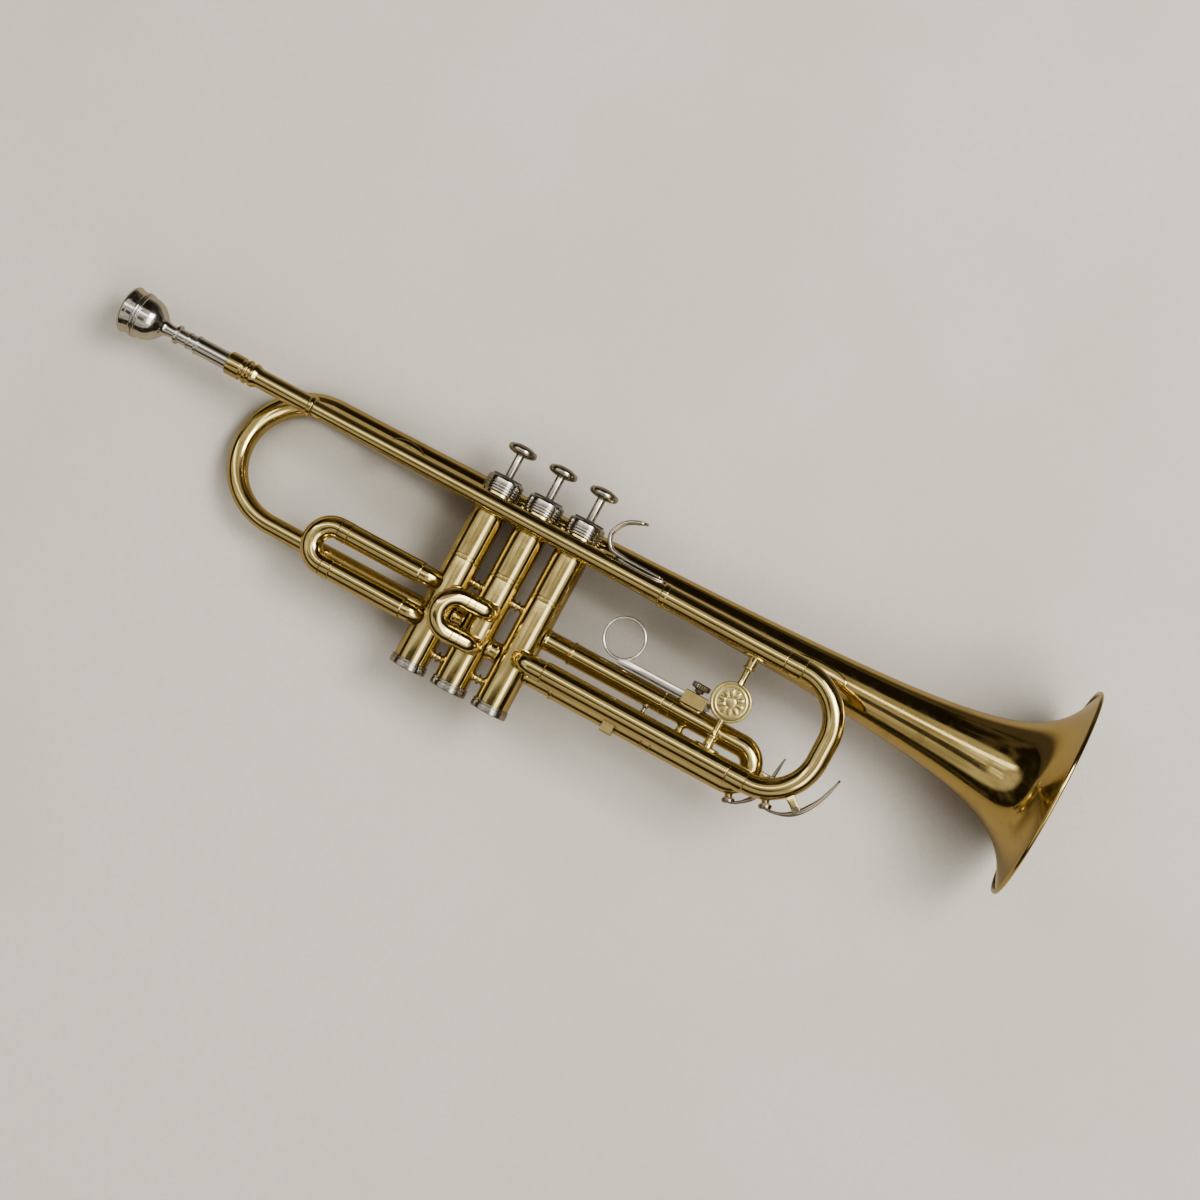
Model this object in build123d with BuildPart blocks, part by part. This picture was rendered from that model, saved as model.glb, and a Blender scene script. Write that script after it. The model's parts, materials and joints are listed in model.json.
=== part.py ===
from build123d import *
import os
from math import cos, radians, sin

# B-flat piston trumpet, in millimetres, in playing position.
# +X runs along the bell axis toward the bell mouth, +Z runs up the valves toward the finger
# buttons, and -Y is the player's right, the side of the leadpipe and the tuning slide.
# The origin is the centre of the second valve's bottom cap, on the cap's underside.

# ---------------------------------------------------------------------------------------------
# Driving dimensions
# ---------------------------------------------------------------------------------------------

# Fits
solder_film = 0.02          # gap between two pieces that are soldered or screwed together
running_gap = 0.05          # radial clearance of a sliding or turning fit
tube_wall = 0.45
ferrule_step = 0.15         # how far a slide's ferrule stands proud of its outer tube

# Valves
valve_pitch = 25.3
casing_radius = 9.8
casing_thread_radius = 9.2
piston_radius = 8.4
bottom_cap_height = 4.9
casing_top_z = 107.8
casing_seam_z = 68.6        # joint between the ported lower casing and the upper casing
top_cap_height = 8.8
valve_travel = 13.3
knuckle_12_z = 38.0         # passage between valves 1 and 2
knuckle_23_z = 31.0         # passage between valves 2 and 3
port_radius = 5.0
port_reach = 12.0           # how far a port is cut from the valve's axis
passage_radius = 4.6

# Leadpipe side: mouthpiece, receiver, leadpipe and main tuning slide share one plane
leadpipe_y = -16.5
leadpipe_z = 101.2
mouthpiece_rim_x = -254.0
receiver_mouth_x = -189.0
receiver_end_x = -134.5
leadpipe_end_x = 85.0
main_tube_start_x = 79.9
main_seam_x = 155.6         # where the tuning slide meets its outer tubes
main_ferrule_end_x = 166.2
main_lower_z = 34.4
main_tube_radius = 6.55
main_bow_radius = 5.95
main_ferrule_radius = main_tube_radius + ferrule_step
main_corner_x = 166.7       # where the bow's corners begin
main_corner_radius = 27.7
main_slide_travel = 30.0

# Bell
bell_y = 19.3
bell_z = 105.5
bell_rim_x = 310.8
bell_rim_radius = 61.5
flare_offset = 9.5
flare_power = 0.56
bell_wall = 0.5
bell_bow_x = -130.6         # where the bell's rear bow begins
bell_leg_y = 4.2
bell_leg_z = 33.1
bell_leg_radius = 5.5
rim_wire_radius = 1.3

# First valve slide, which pulls toward the player
first_y = -9.0
first_upper_z = 49.8
first_lower_z = 28.3
first_tube_radius = 6.25
first_tube_start_x = -41.0
first_seam_x = -85.5
first_bow_x = -91.7
first_slide_travel = 20.0

# Second valve slide, which pulls toward the player and out to the right
second_port_x = 2.3
second_upper_z = 48.8
second_lower_z = 28.6
second_tube_radius = 5.55
second_lean = 22.0          # degrees from straight back toward the right
second_slide_travel = 4.5

# Third valve slide, which pulls toward the bell
third_upper_z = 50.1
third_lower_z = 29.0
third_tube_radius = 6.3
third_collar_x = 51.0
third_seam_x = 106.9
third_ferrule_end_x = 112.5
third_bow_x = 154.5
third_slide_travel = 20.0

# Medallion brace between the two tubes of the main slide
medallion_x = 139.7
medallion_z = 67.9
medallion_radius = 11.3
medallion_thickness = 2.2

# Finger ring and its clamp on the third slide
ring_x = 72.3
ring_z = 70.9
ring_radius = 11.4
ring_wire_radius = 0.85
ring_bar_bottom_z = 57.1
ring_bar_top_z = 61.5
clamp_start_x = 114.6
clamp_end_x = 128.0

# Water keys
key_width = 4.0
key_strap = 2.2
key_pin_radius = 1.0
key_hub_radius = 2.2
cork_radius = 2.9
main_key_x = 196.5
main_key_z = 34.4
third_key_x = 176.0
third_key_z = 41.0


# ---------------------------------------------------------------------------------------------
# Shared shapes
# ---------------------------------------------------------------------------------------------

def lengthwise_plane(y, z):
    """Profile plane of a lengthwise axis: local x runs toward the bell, local y is the radius."""
    return Plane(origin=(0, y, z), x_dir=(1, 0, 0), z_dir=(0, -1, 0))


def lengthwise_axis(y, z):
    return Axis((0, y, z), (1, 0, 0))


def upright_plane(x, y):
    """Profile plane of an upright axis: local x is the radius, local y is the height."""
    return Plane(origin=(x, y, 0), x_dir=(1, 0, 0), z_dir=(0, -1, 0))


def upright_axis(x, y):
    return Axis((x, y, 0), (0, 0, 1))


def straight_tube(start, end, outer_radius, bore_radius=0.0):
    """A round tube between two points, or a rod when it has no bore."""
    direction = Vector(*end) - Vector(*start)
    with BuildPart() as tube:
        with BuildSketch(Plane(origin=start, z_dir=direction)):
            Circle(outer_radius)
            if bore_radius > 0:
                Circle(bore_radius, mode=Mode.SUBTRACT)
        extrude(amount=direction.length)
    return tube.part


def bent_tube(path, outer_radius, bore_radius=0.0):
    """A round tube along a wire, or a rod when it has no bore."""
    with BuildPart() as tube:
        with BuildSketch(Plane(origin=path @ 0, z_dir=path % 0)):
            Circle(outer_radius)
            if bore_radius > 0:
                Circle(bore_radius, mode=Mode.SUBTRACT)
        sweep(path=path)
    return tube.part


def bow_plane(centre, outward, across):
    """Plane of a slide's bow: local x points out along the slide, local y across its two legs."""
    normal = Vector(*outward).cross(Vector(*across))
    return Plane(origin=centre, x_dir=outward, z_dir=normal)


def bow_path(plane, leg_length, half_gap, corner_radius):
    """A U with two round corners. Its legs lie half_gap either side of the plane's x axis."""
    with BuildLine(plane) as path:
        Line((-leg_length, half_gap), (0, half_gap))
        CenterArc((0, half_gap - corner_radius), corner_radius, 90, -90)
        if corner_radius < half_gap:
            Line((corner_radius, half_gap - corner_radius), (corner_radius, corner_radius - half_gap))
        CenterArc((0, corner_radius - half_gap), corner_radius, 0, -90)
        Line((0, -half_gap), (-leg_length, -half_gap))
    return path.wire()


def valve_blank(x, radius):
    """A full-height cylinder on a valve's axis, for cutting whatever is soldered to its casing."""
    with BuildPart() as blank:
        with BuildSketch(Plane(origin=(x, 0, 0))):
            Circle(radius)
        extrude(amount=casing_top_z)
    return blank.part


def lathe(plane, axis, points):
    """A turned piece whose half section is a closed outline of straight cuts."""
    with BuildPart() as piece:
        with BuildSketch(plane):
            with BuildLine():
                Polyline(*points, close=True)
            make_face()
        revolve(axis=axis)
    return piece.part


def oval_foot(centre, facing, length, width, inner_blank, outer_blank, reach):
    """An oval plate bent round a tube: the skin between the tube and a slightly larger one."""
    with BuildPart() as foot:
        with BuildSketch(Plane(origin=centre, x_dir=(1, 0, 0), z_dir=facing)):
            SlotOverall(length, width)
        extrude(amount=reach)
        add(outer_blank, mode=Mode.INTERSECT)
        add(inner_blank, mode=Mode.SUBTRACT)
    return foot.part


def joined(pieces, cutters):
    """One solid from several, less some cutters."""
    with BuildPart() as result:
        for piece in pieces:
            add(piece)
        for cutter in cutters:
            add(cutter, mode=Mode.SUBTRACT)
    return result


valve_x = {1: -valve_pitch, 2: 0.0, 3: valve_pitch}
casing_blank = {number: valve_blank(x, casing_radius + solder_film) for number, x in valve_x.items()}
pieces = {}


# ---------------------------------------------------------------------------------------------
# Valve ports: where each passage leaves the valve, as an offset from the axis and a direction
# ---------------------------------------------------------------------------------------------

first_bend = 38.0           # degrees the first slide's tubes turn to face their casing
main_bend = 66.0            # degrees the tuning slide's lower tube turns to face its casing
forward = Vector(1, 0, 0)
backward = Vector(-1, 0, 0)
rightward = Vector(0, -1, 0)
first_facing = Vector(-cos(radians(first_bend)), -sin(radians(first_bend)), 0)
main_facing = Vector(cos(radians(main_bend)), -sin(radians(main_bend)), 0)
no_offset = Vector(0, 0, 0)
bell_offset = Vector(0, bell_leg_y, 0)
second_offset = Vector(second_port_x, 0, 0)

# Each valve: inlet, outlet, slide port above and slide port below
valve_ports = {
    1: [
        (no_offset, forward, knuckle_12_z),
        (bell_offset, backward, bell_leg_z),
        (no_offset, first_facing, first_upper_z),
        (no_offset, first_facing, first_lower_z),
    ],
    2: [
        (no_offset, forward, knuckle_23_z),
        (no_offset, backward, knuckle_12_z),
        (second_offset, rightward, second_upper_z),
        (second_offset, rightward, second_lower_z),
    ],
    3: [
        (no_offset, main_facing, main_lower_z),
        (no_offset, backward, knuckle_23_z),
        (no_offset, forward, third_upper_z),
        (no_offset, forward, third_lower_z),
    ],
}


def port_point(number, port, distance, lift=0.0):
    """A point on a port's axis, at a distance from the valve's axis."""
    offset, direction, z = port
    point = Vector(valve_x[number], 0, z + lift) + offset + direction * distance
    return (point.X, point.Y, point.Z)


# ---------------------------------------------------------------------------------------------
# Valve casings, caps and guides
# ---------------------------------------------------------------------------------------------

casing_bore = piston_radius + running_gap
cap_floor = 1.6
thread_top_z = casing_top_z + 5.8
keyway_radius = 8.95
keyway_width = 4.2
seam_groove = 0.3


def valve_casing(number):
    x = valve_x[number]
    ports = []
    for port in valve_ports[number]:
        start = port_point(number, port, 0)
        end = port_point(number, port, port_reach)
        ports.append(straight_tube(start, end, port_radius))
    with BuildPart() as casing:
        with BuildSketch(upright_plane(x, 0)):
            with BuildLine():
                Polyline(
                    (casing_bore, cap_floor + solder_film),
                    (casing_thread_radius, cap_floor + solder_film),
                    (casing_thread_radius, bottom_cap_height + solder_film),
                    (casing_radius, bottom_cap_height + solder_film),
                    (casing_radius, casing_seam_z - seam_groove),
                    (casing_radius - seam_groove, casing_seam_z),
                    (casing_radius, casing_seam_z + seam_groove),
                    (casing_radius, casing_top_z - solder_film),
                    (casing_thread_radius, casing_top_z - solder_film),
                    (casing_thread_radius, thread_top_z),
                    (casing_bore, thread_top_z),
                    close=True,
                )
            make_face()
        revolve(axis=upright_axis(x, 0))
        with BuildSketch(Plane(origin=(x, 0, casing_seam_z))):
            Rectangle(keyway_width, 2 * keyway_radius)
            Circle(keyway_radius, mode=Mode.INTERSECT)
        extrude(amount=thread_top_z - casing_seam_z, mode=Mode.SUBTRACT)
        for port in ports:
            add(port, mode=Mode.SUBTRACT)
    return casing


for number in valve_x:
    pieces[f"valve_casing_{number}"] = valve_casing(number)

valve_centres = [(x, 0) for x in valve_x.values()]

bottom_cap_radius = 10.6
cap_thread_gap = casing_thread_radius + solder_film
with BuildPart() as bottom_caps:
    with BuildSketch():
        with Locations(*valve_centres):
            Circle(bottom_cap_radius)
    extrude(amount=bottom_cap_height)
    chamfer(bottom_caps.edges().group_by(Axis.Z)[0], length=0.5)
    with BuildSketch(Plane.XY.offset(cap_floor)):
        with Locations(*valve_centres):
            Circle(cap_thread_gap)
    extrude(amount=bottom_cap_height, mode=Mode.SUBTRACT)
pieces["bottom_caps"] = bottom_caps

top_cap_radius = 10.75
top_cap_neck_radius = 9.95
stem_radius = 2.45
top_cap_z = casing_top_z + top_cap_height
top_cap_ceiling_z = top_cap_z - 2.5


def top_cap(x):
    return lathe(upright_plane(x, 0), upright_axis(x, 0), [
        (cap_thread_gap, casing_top_z),
        (top_cap_neck_radius, casing_top_z),
        (top_cap_neck_radius, casing_top_z + 1.8),
        (top_cap_radius, casing_top_z + 2.4),
        (top_cap_radius, casing_top_z + 4.4),
        (top_cap_radius - 0.6, casing_top_z + 4.8),
        (top_cap_radius, casing_top_z + 5.2),
        (top_cap_radius, top_cap_z - 0.9),
        (top_cap_radius - 0.9, top_cap_z),
        (stem_radius + 0.25, top_cap_z),
        (stem_radius + 0.25, top_cap_ceiling_z),
        (cap_thread_gap, top_cap_ceiling_z),
    ])


pieces["top_caps"] = joined([top_cap(x) for x in valve_x.values()], [])

cap_felt_thickness = 1.3
with BuildPart() as cap_felts:
    with BuildSketch(Plane.XY.offset(top_cap_z + solder_film)):
        with Locations(*valve_centres):
            Circle(piston_radius)
            Circle(stem_radius + 0.4, mode=Mode.SUBTRACT)
    extrude(amount=cap_felt_thickness)
pieces["cap_felts"] = cap_felts

guide_bottom_z = casing_seam_z + solder_film
guide_height = 2.4
guide_top_z = guide_bottom_z + guide_height
barrel_bore = 7.5
guide_vent_radius = 1.4
guide_vent_circle = 4.6
with BuildSketch() as guide_outline:
    Rectangle(keyway_width - 0.2, 2 * casing_radius)
    Circle(keyway_radius - running_gap, mode=Mode.INTERSECT)
    Circle(barrel_bore - 0.2)
    with PolarLocations(guide_vent_circle, 4, start_angle=45):
        Circle(guide_vent_radius, mode=Mode.SUBTRACT)
with BuildPart() as valve_guides:
    with BuildSketch(Plane.XY.offset(guide_bottom_z)):
        with Locations(*valve_centres):
            add(guide_outline.sketch)
    extrude(amount=guide_height)
pieces["valve_guides"] = valve_guides


# ---------------------------------------------------------------------------------------------
# Pistons, stems, buttons and springs
# ---------------------------------------------------------------------------------------------

piston_bottom_z = 22.0
piston_recess = 2.5         # depth of the hollow under the piston
ported_top_z = casing_seam_z - 0.2
barrel_ceiling_z = top_cap_ceiling_z - 2.2
piston_top_z = top_cap_ceiling_z - 0.2
slot_height = guide_top_z - ported_top_z + valve_travel + 0.3
button_bottom_z = top_cap_z + cap_felt_thickness + 0.1 + valve_travel
button_top_z = button_bottom_z + 6.2
button_radius = 8.45
button_edge_radius = 7.2
button_plate_radius = 6.2
button_foot_radius = 4.2
button_socket_z = button_bottom_z + 3.1
stem_thread_radius = 1.5
stem_socket_radius = stem_thread_radius + solder_film


def piston(number):
    x = valve_x[number]
    inlet, outlet, slide_above, slide_below = valve_ports[number]
    reach = casing_radius + 1
    passages = [
        straight_tube(
            port_point(number, start, reach, lift),
            port_point(number, end, reach, lift),
            passage_radius,
        )
        for start, end, lift in [
            (inlet, outlet, 0.0),
            (inlet, slide_above, valve_travel),
            (slide_below, outlet, valve_travel),
        ]
    ]
    with BuildPart() as body:
        with BuildSketch(Plane(origin=(x, 0, piston_bottom_z))):
            Circle(piston_radius)
        extrude(amount=piston_top_z - piston_bottom_z)
        with BuildSketch(Plane(origin=(x, 0, piston_bottom_z))):
            Circle(barrel_bore)
        extrude(amount=piston_recess, mode=Mode.SUBTRACT)
        with BuildSketch(Plane(origin=(x, 0, ported_top_z))):
            Circle(barrel_bore)
        extrude(amount=barrel_ceiling_z - ported_top_z, mode=Mode.SUBTRACT)
        with BuildSketch(Plane(origin=(x, 0, ported_top_z))):
            Rectangle(keyway_width + 0.2, 2 * casing_radius)
        extrude(amount=slot_height, mode=Mode.SUBTRACT)
        with BuildSketch(Plane(origin=(x, 0, barrel_ceiling_z))):
            Circle(stem_socket_radius)
        extrude(amount=piston_top_z - barrel_ceiling_z, mode=Mode.SUBTRACT)
        for passage in passages:
            add(passage, mode=Mode.SUBTRACT)
    return body


def valve_stem(x):
    """The stem between piston and button, with a threaded end at each."""
    thread_bottom = barrel_ceiling_z + 0.2
    return lathe(upright_plane(x, 0), upright_axis(x, 0), [
        (0, thread_bottom),
        (stem_thread_radius, thread_bottom),
        (stem_thread_radius, piston_top_z + solder_film),
        (stem_radius, piston_top_z + solder_film),
        (stem_radius, button_bottom_z - solder_film),
        (stem_thread_radius, button_bottom_z - solder_film),
        (stem_thread_radius, button_bottom_z + 3.0),
        (0, button_bottom_z + 3.0),
    ])


def finger_button(x):
    """A round-edged button with a raised finger plate."""
    with BuildPart() as button:
        with BuildSketch(upright_plane(x, 0)):
            with BuildLine():
                Line((0, button_socket_z), (0, button_top_z))
                ThreePointArc(
                    (0, button_top_z),
                    (button_plate_radius / 2, button_top_z - 0.2),
                    (button_plate_radius, button_top_z - 0.9),
                )
                Line((button_plate_radius, button_top_z - 0.9), (button_edge_radius, button_top_z - 1.2))
                ThreePointArc(
                    (button_edge_radius, button_top_z - 1.2),
                    (button_radius, button_bottom_z + 2.7),
                    (button_edge_radius, button_bottom_z + 0.9),
                )
                Polyline(
                    (button_edge_radius, button_bottom_z + 0.9),
                    (button_foot_radius, button_bottom_z),
                    (stem_socket_radius, button_bottom_z),
                    (stem_socket_radius, button_socket_z),
                    (0, button_socket_z),
                )
            make_face()
        revolve(axis=upright_axis(x, 0))
    return button


spring_radius = 5.6
spring_wire_radius = 0.45
spring_turns = 9
spring_start_z = guide_top_z + spring_wire_radius + solder_film
spring_height = barrel_ceiling_z - solder_film - spring_wire_radius - spring_start_z


def valve_spring(x):
    """A coil spring between the fixed guide and the top of the piston's barrel."""
    with BuildLine() as coil:
        Helix(spring_height / spring_turns, spring_height, spring_radius, center=(x, 0, spring_start_z))
    path = coil.line.edge()
    with BuildPart() as spring:
        with BuildSketch(Plane(origin=path @ 0, z_dir=path % 0)):
            Circle(spring_wire_radius)
        sweep(path=path, is_frenet=True)
    return spring


for number, x in valve_x.items():
    pieces[f"piston_{number}"] = piston(number)
    pieces[f"valve_stem_{number}"] = joined([valve_stem(x)], [])
    pieces[f"finger_button_{number}"] = finger_button(x)
    pieces[f"valve_spring_{number}"] = valve_spring(x)


# ---------------------------------------------------------------------------------------------
# Knuckles and turned braces between the casings
# ---------------------------------------------------------------------------------------------

knuckle_radius = 5.6


def knuckle(left, right, z, radius):
    return straight_tube((valve_x[left], 0, z), (valve_x[right], 0, z), knuckle_radius, radius)


pieces["casing_knuckles"] = joined(
    [knuckle(1, 2, knuckle_12_z, port_radius), knuckle(2, 3, knuckle_23_z, port_radius)],
    casing_blank.values(),
)

spool_radius = 2.0
spool_bead_radius = 3.0
spool_heights = [13.6, 58.3]
spool_overlap = 0.4         # how far a blank runs into a casing before it is cut to it


def casing_spool(left, right, z):
    """A small turned brace with a bead at its middle and flared ends."""
    middle = (valve_x[left] + valve_x[right]) / 2
    half_gap = (valve_x[right] - valve_x[left]) / 2 - casing_radius + spool_overlap
    return lathe(lengthwise_plane(0, z), lengthwise_axis(0, z), [
        (middle - half_gap, 0),
        (middle - half_gap, spool_bead_radius),
        (middle - 1.6, spool_radius),
        (middle - 0.9, spool_radius),
        (middle - 0.5, spool_bead_radius),
        (middle + 0.5, spool_bead_radius),
        (middle + 0.9, spool_radius),
        (middle + 1.6, spool_radius),
        (middle + half_gap, spool_bead_radius),
        (middle + half_gap, 0),
    ])


spools = [casing_spool(left, left + 1, z) for left in (1, 2) for z in spool_heights]
pieces["casing_spools"] = joined(spools, casing_blank.values())


# ---------------------------------------------------------------------------------------------
# Mouthpiece, receiver and leadpipe
# ---------------------------------------------------------------------------------------------

leadpipe_plane = lengthwise_plane(leadpipe_y, leadpipe_z)
leadpipe_axis = lengthwise_axis(leadpipe_y, leadpipe_z)
shank_end_x = receiver_mouth_x + 23
shank_mouth_radius = 5.0
shank_end_radius = 4.55
throat_radius = 1.85
cup_radius = 8.2
rim_radius = 13.5

with BuildPart() as mouthpiece:
    with BuildSketch(leadpipe_plane):
        with BuildLine():
            # rim, from the cup's edge over its crown to the outside
            ThreePointArc(
                (mouthpiece_rim_x + 1.2, cup_radius),
                (mouthpiece_rim_x, 10.6),
                (mouthpiece_rim_x + 2.4, rim_radius),
            )
            Polyline(
                (mouthpiece_rim_x + 2.4, rim_radius),
                (mouthpiece_rim_x + 7.6, 12.9),
                (mouthpiece_rim_x + 8.4, 12.1),
                (mouthpiece_rim_x + 10.2, 12.1),
                (mouthpiece_rim_x + 11.0, 12.9),
                (mouthpiece_rim_x + 14.4, 12.2),
            )
            # bowl, drawn in to the neck
            Spline(
                (mouthpiece_rim_x + 14.4, 12.2),
                (mouthpiece_rim_x + 20.0, 9.6),
                (mouthpiece_rim_x + 25.0, 5.4),
                (mouthpiece_rim_x + 30.0, 3.6),
                tangents=[(1, -0.25), (1, -0.1)],
            )
            # neck beads and the tapered shank
            Polyline(
                (mouthpiece_rim_x + 30.0, 3.6),
                (mouthpiece_rim_x + 31.4, 3.7),
                (mouthpiece_rim_x + 32.0, 5.0),
                (mouthpiece_rim_x + 33.4, 5.0),
                (mouthpiece_rim_x + 34.0, 4.0),
                (mouthpiece_rim_x + 35.4, 4.0),
                (mouthpiece_rim_x + 36.2, 4.8),
                (mouthpiece_rim_x + 40.4, 4.7),
                (mouthpiece_rim_x + 41.0, 5.3),
                (receiver_mouth_x, shank_mouth_radius),
                (shank_end_x, shank_end_radius),
                (shank_end_x, shank_end_radius - 0.8),
                (mouthpiece_rim_x + 26.0, throat_radius),
                (mouthpiece_rim_x + 18.0, throat_radius),
            )
            # cup
            Spline(
                (mouthpiece_rim_x + 18.0, throat_radius),
                (mouthpiece_rim_x + 11.5, 5.0),
                (mouthpiece_rim_x + 6.0, 7.6),
                (mouthpiece_rim_x + 1.2, cup_radius),
            )
        make_face()
    revolve(axis=leadpipe_axis)
pieces["mouthpiece"] = mouthpiece

receiver_radius = 6.55
receiver_tube_radius = 5.35
leadpipe_start_x = -164.0
leadpipe_start_radius = 4.6
leadpipe_end_radius = 5.65
leadpipe_bore_start = 4.0
leadpipe_bore_end = 5.1
receiver_outline = [
    (receiver_mouth_x, shank_mouth_radius + solder_film),
    (receiver_mouth_x, receiver_radius - 0.4),
    (receiver_mouth_x + 0.5, receiver_radius),
    (receiver_mouth_x + 8.6, receiver_radius),
    (receiver_mouth_x + 9.2, receiver_radius - 0.8),
    (receiver_mouth_x + 10.4, receiver_radius - 0.8),
    (receiver_mouth_x + 11.2, receiver_radius + 0.2),
    (receiver_mouth_x + 12.6, receiver_radius + 0.2),
    (receiver_mouth_x + 13.4, receiver_radius - 0.8),
    (receiver_mouth_x + 14.6, receiver_radius - 0.8),
    (receiver_mouth_x + 15.4, receiver_radius + 0.1),
    (receiver_mouth_x + 16.8, receiver_radius + 0.1),
    (receiver_mouth_x + 18.6, receiver_tube_radius + 0.3),
    (receiver_mouth_x + 20.0, receiver_tube_radius),
    (receiver_end_x - 3.4, receiver_tube_radius),
    (receiver_end_x - 2.8, receiver_tube_radius + 0.7),
    (receiver_end_x - 0.8, receiver_tube_radius + 0.7),
    (receiver_end_x, receiver_tube_radius - 0.2),
    (receiver_end_x, leadpipe_start_radius + 0.15),
    (leadpipe_start_x - 0.5, leadpipe_start_radius + solder_film),
    (leadpipe_start_x - 0.5, shank_end_radius + solder_film),
    (shank_end_x, shank_end_radius + solder_film),
]
pieces["mouthpiece_receiver"] = joined([lathe(leadpipe_plane, leadpipe_axis, receiver_outline)], [])


def leadpipe_radius(x):
    """The leadpipe widens evenly from the receiver to the tuning slide."""
    share = (x - leadpipe_start_x) / (leadpipe_end_x - leadpipe_start_x)
    return leadpipe_start_radius + share * (leadpipe_end_radius - leadpipe_start_radius)


def leadpipe_blank(growth):
    return lathe(leadpipe_plane, leadpipe_axis, [
        (leadpipe_start_x, 0),
        (leadpipe_start_x, leadpipe_start_radius + growth),
        (leadpipe_end_x, leadpipe_end_radius + growth),
        (leadpipe_end_x, 0),
    ])


pieces["leadpipe"] = joined([lathe(leadpipe_plane, leadpipe_axis, [
    (leadpipe_start_x, leadpipe_bore_start),
    (leadpipe_start_x, leadpipe_start_radius),
    (leadpipe_end_x, leadpipe_end_radius),
    (leadpipe_end_x, leadpipe_bore_end),
])], [])

with BuildLine(Plane.XZ.offset(-leadpipe_y)) as hook_line:
    Spline(
        (53.0, leadpipe_z + 6.7),
        (44.8, leadpipe_z + 8.6),
        (41.0, leadpipe_z + 15.5),
        (45.0, leadpipe_z + 24.0),
        (56.5, leadpipe_z + 29.0),
        tangents=[(-1, 0), (1, 0.15)],
    )
hook_path = hook_line.line.edge()
hook_strip_width = 8.4
hook_strip_thickness = 2.4
hook_base_start_x = 48.6
hook_base_end_x = 79.4
hook_base_width = 6.4
hook_base_height = 1.7      # above the leadpipe
with BuildPart() as finger_hook:
    with BuildSketch(Plane(origin=hook_path @ 0, x_dir=(0, 1, 0), z_dir=hook_path % 0)):
        RectangleRounded(hook_strip_width, hook_strip_thickness, 0.8)
    sweep(path=hook_path)
    with BuildSketch(Plane.XY.offset(leadpipe_z)):
        with Locations(((hook_base_start_x + hook_base_end_x) / 2, leadpipe_y)):
            SlotOverall(hook_base_end_x - hook_base_start_x, hook_base_width)
    extrude(amount=leadpipe_radius(hook_base_end_x) + hook_base_height)
    add(leadpipe_blank(solder_film), mode=Mode.SUBTRACT)
pieces["finger_hook"] = finger_hook


# ---------------------------------------------------------------------------------------------
# Main tuning slide
# ---------------------------------------------------------------------------------------------

main_tube_bore = main_tube_radius - tube_wall
main_inner_radius = main_tube_bore - running_gap
main_inner_bore = main_inner_radius - tube_wall
main_inner_start_x = 90.0
main_elbow_radius = 5.9
main_elbow_bore = 5.1
main_elbow_bend = 7.5
main_tube_elbow_x = 44.0
main_elbow_socket_x = main_tube_elbow_x + 6


def elbow_path(number, toward, leg_y, z, bend_radius, turn, far_x):
    """A lengthwise leg that turns toward +Y and ends on a valve's axis."""
    heading = (toward * cos(radians(turn)), sin(radians(turn)))
    bend_end_y = leg_y + bend_radius * (1 - cos(radians(turn)))
    bend_end_x = valve_x[number] + heading[0] * bend_end_y / heading[1]
    bend_start_x = bend_end_x - toward * bend_radius * heading[1]
    with BuildLine(Plane.XY.offset(z)) as path:
        Line((far_x, leg_y), (bend_start_x, leg_y))
        JernArc((bend_start_x, leg_y), (toward, 0), bend_radius, toward * turn)
        Line((bend_end_x, bend_end_y), (valve_x[number], 0))
    return path.wire()


pieces["main_slide_upper_tube"] = joined([lathe(leadpipe_plane, leadpipe_axis, [
    (main_tube_start_x, leadpipe_end_radius + solder_film),
    (main_tube_start_x, main_tube_radius - 0.4),
    (main_tube_start_x + 0.6, main_tube_radius),
    (main_seam_x - solder_film, main_tube_radius),
    (main_seam_x - solder_film, main_tube_bore),
    (leadpipe_end_x + 1, main_tube_bore),
    (leadpipe_end_x - 1, leadpipe_end_radius + solder_film),
])], [])

main_elbow = elbow_path(3, -1, leadpipe_y, main_lower_z, main_elbow_bend, main_bend, main_elbow_socket_x)
main_lower_start = (main_tube_elbow_x, leadpipe_y, main_lower_z)
main_lower_end = (main_seam_x - solder_film, leadpipe_y, main_lower_z)
main_lower_bore_start = (main_elbow_socket_x, leadpipe_y, main_lower_z)
pieces["main_slide_lower_tube"] = joined(
    [bent_tube(main_elbow, main_elbow_radius), straight_tube(main_lower_start, main_lower_end, main_tube_radius)],
    [
        bent_tube(main_elbow, main_elbow_bore),
        straight_tube(main_lower_bore_start, main_lower_end, main_tube_bore),
        casing_blank[3],
    ],
)


def slide_leg(y, z, inner_end_x, seam_x, ferrule_end_x, inner_radius, ferrule_radius):
    """A slide's inner tube with the ferrule that joins it to the bow."""
    return lathe(lengthwise_plane(y, z), lengthwise_axis(y, z), [
        (inner_end_x, inner_radius - tube_wall),
        (inner_end_x, inner_radius),
        (seam_x, inner_radius),
        (seam_x, ferrule_radius),
        (ferrule_end_x, ferrule_radius),
        (ferrule_end_x, inner_radius - tube_wall),
    ])


main_centre_z = (leadpipe_z + main_lower_z) / 2
main_half_gap = (leadpipe_z - main_lower_z) / 2
pieces["tuning_slide_legs"] = joined([
    slide_leg(
        leadpipe_y,
        z,
        main_inner_start_x,
        main_seam_x,
        main_ferrule_end_x - solder_film,
        main_inner_radius,
        main_ferrule_radius,
    )
    for z in (leadpipe_z, main_lower_z)
], [])

main_bow_plane = bow_plane((main_corner_x, leadpipe_y, main_centre_z), (1, 0, 0), (0, 0, 1))
main_bow_line = bow_path(
    main_bow_plane,
    main_corner_x - main_ferrule_end_x,
    main_half_gap,
    main_corner_radius,
)
nipple_radius = 2.0
nipple_bore = 1.2
nipple_height = 1.6         # how far a nipple stands out of its bow


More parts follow.
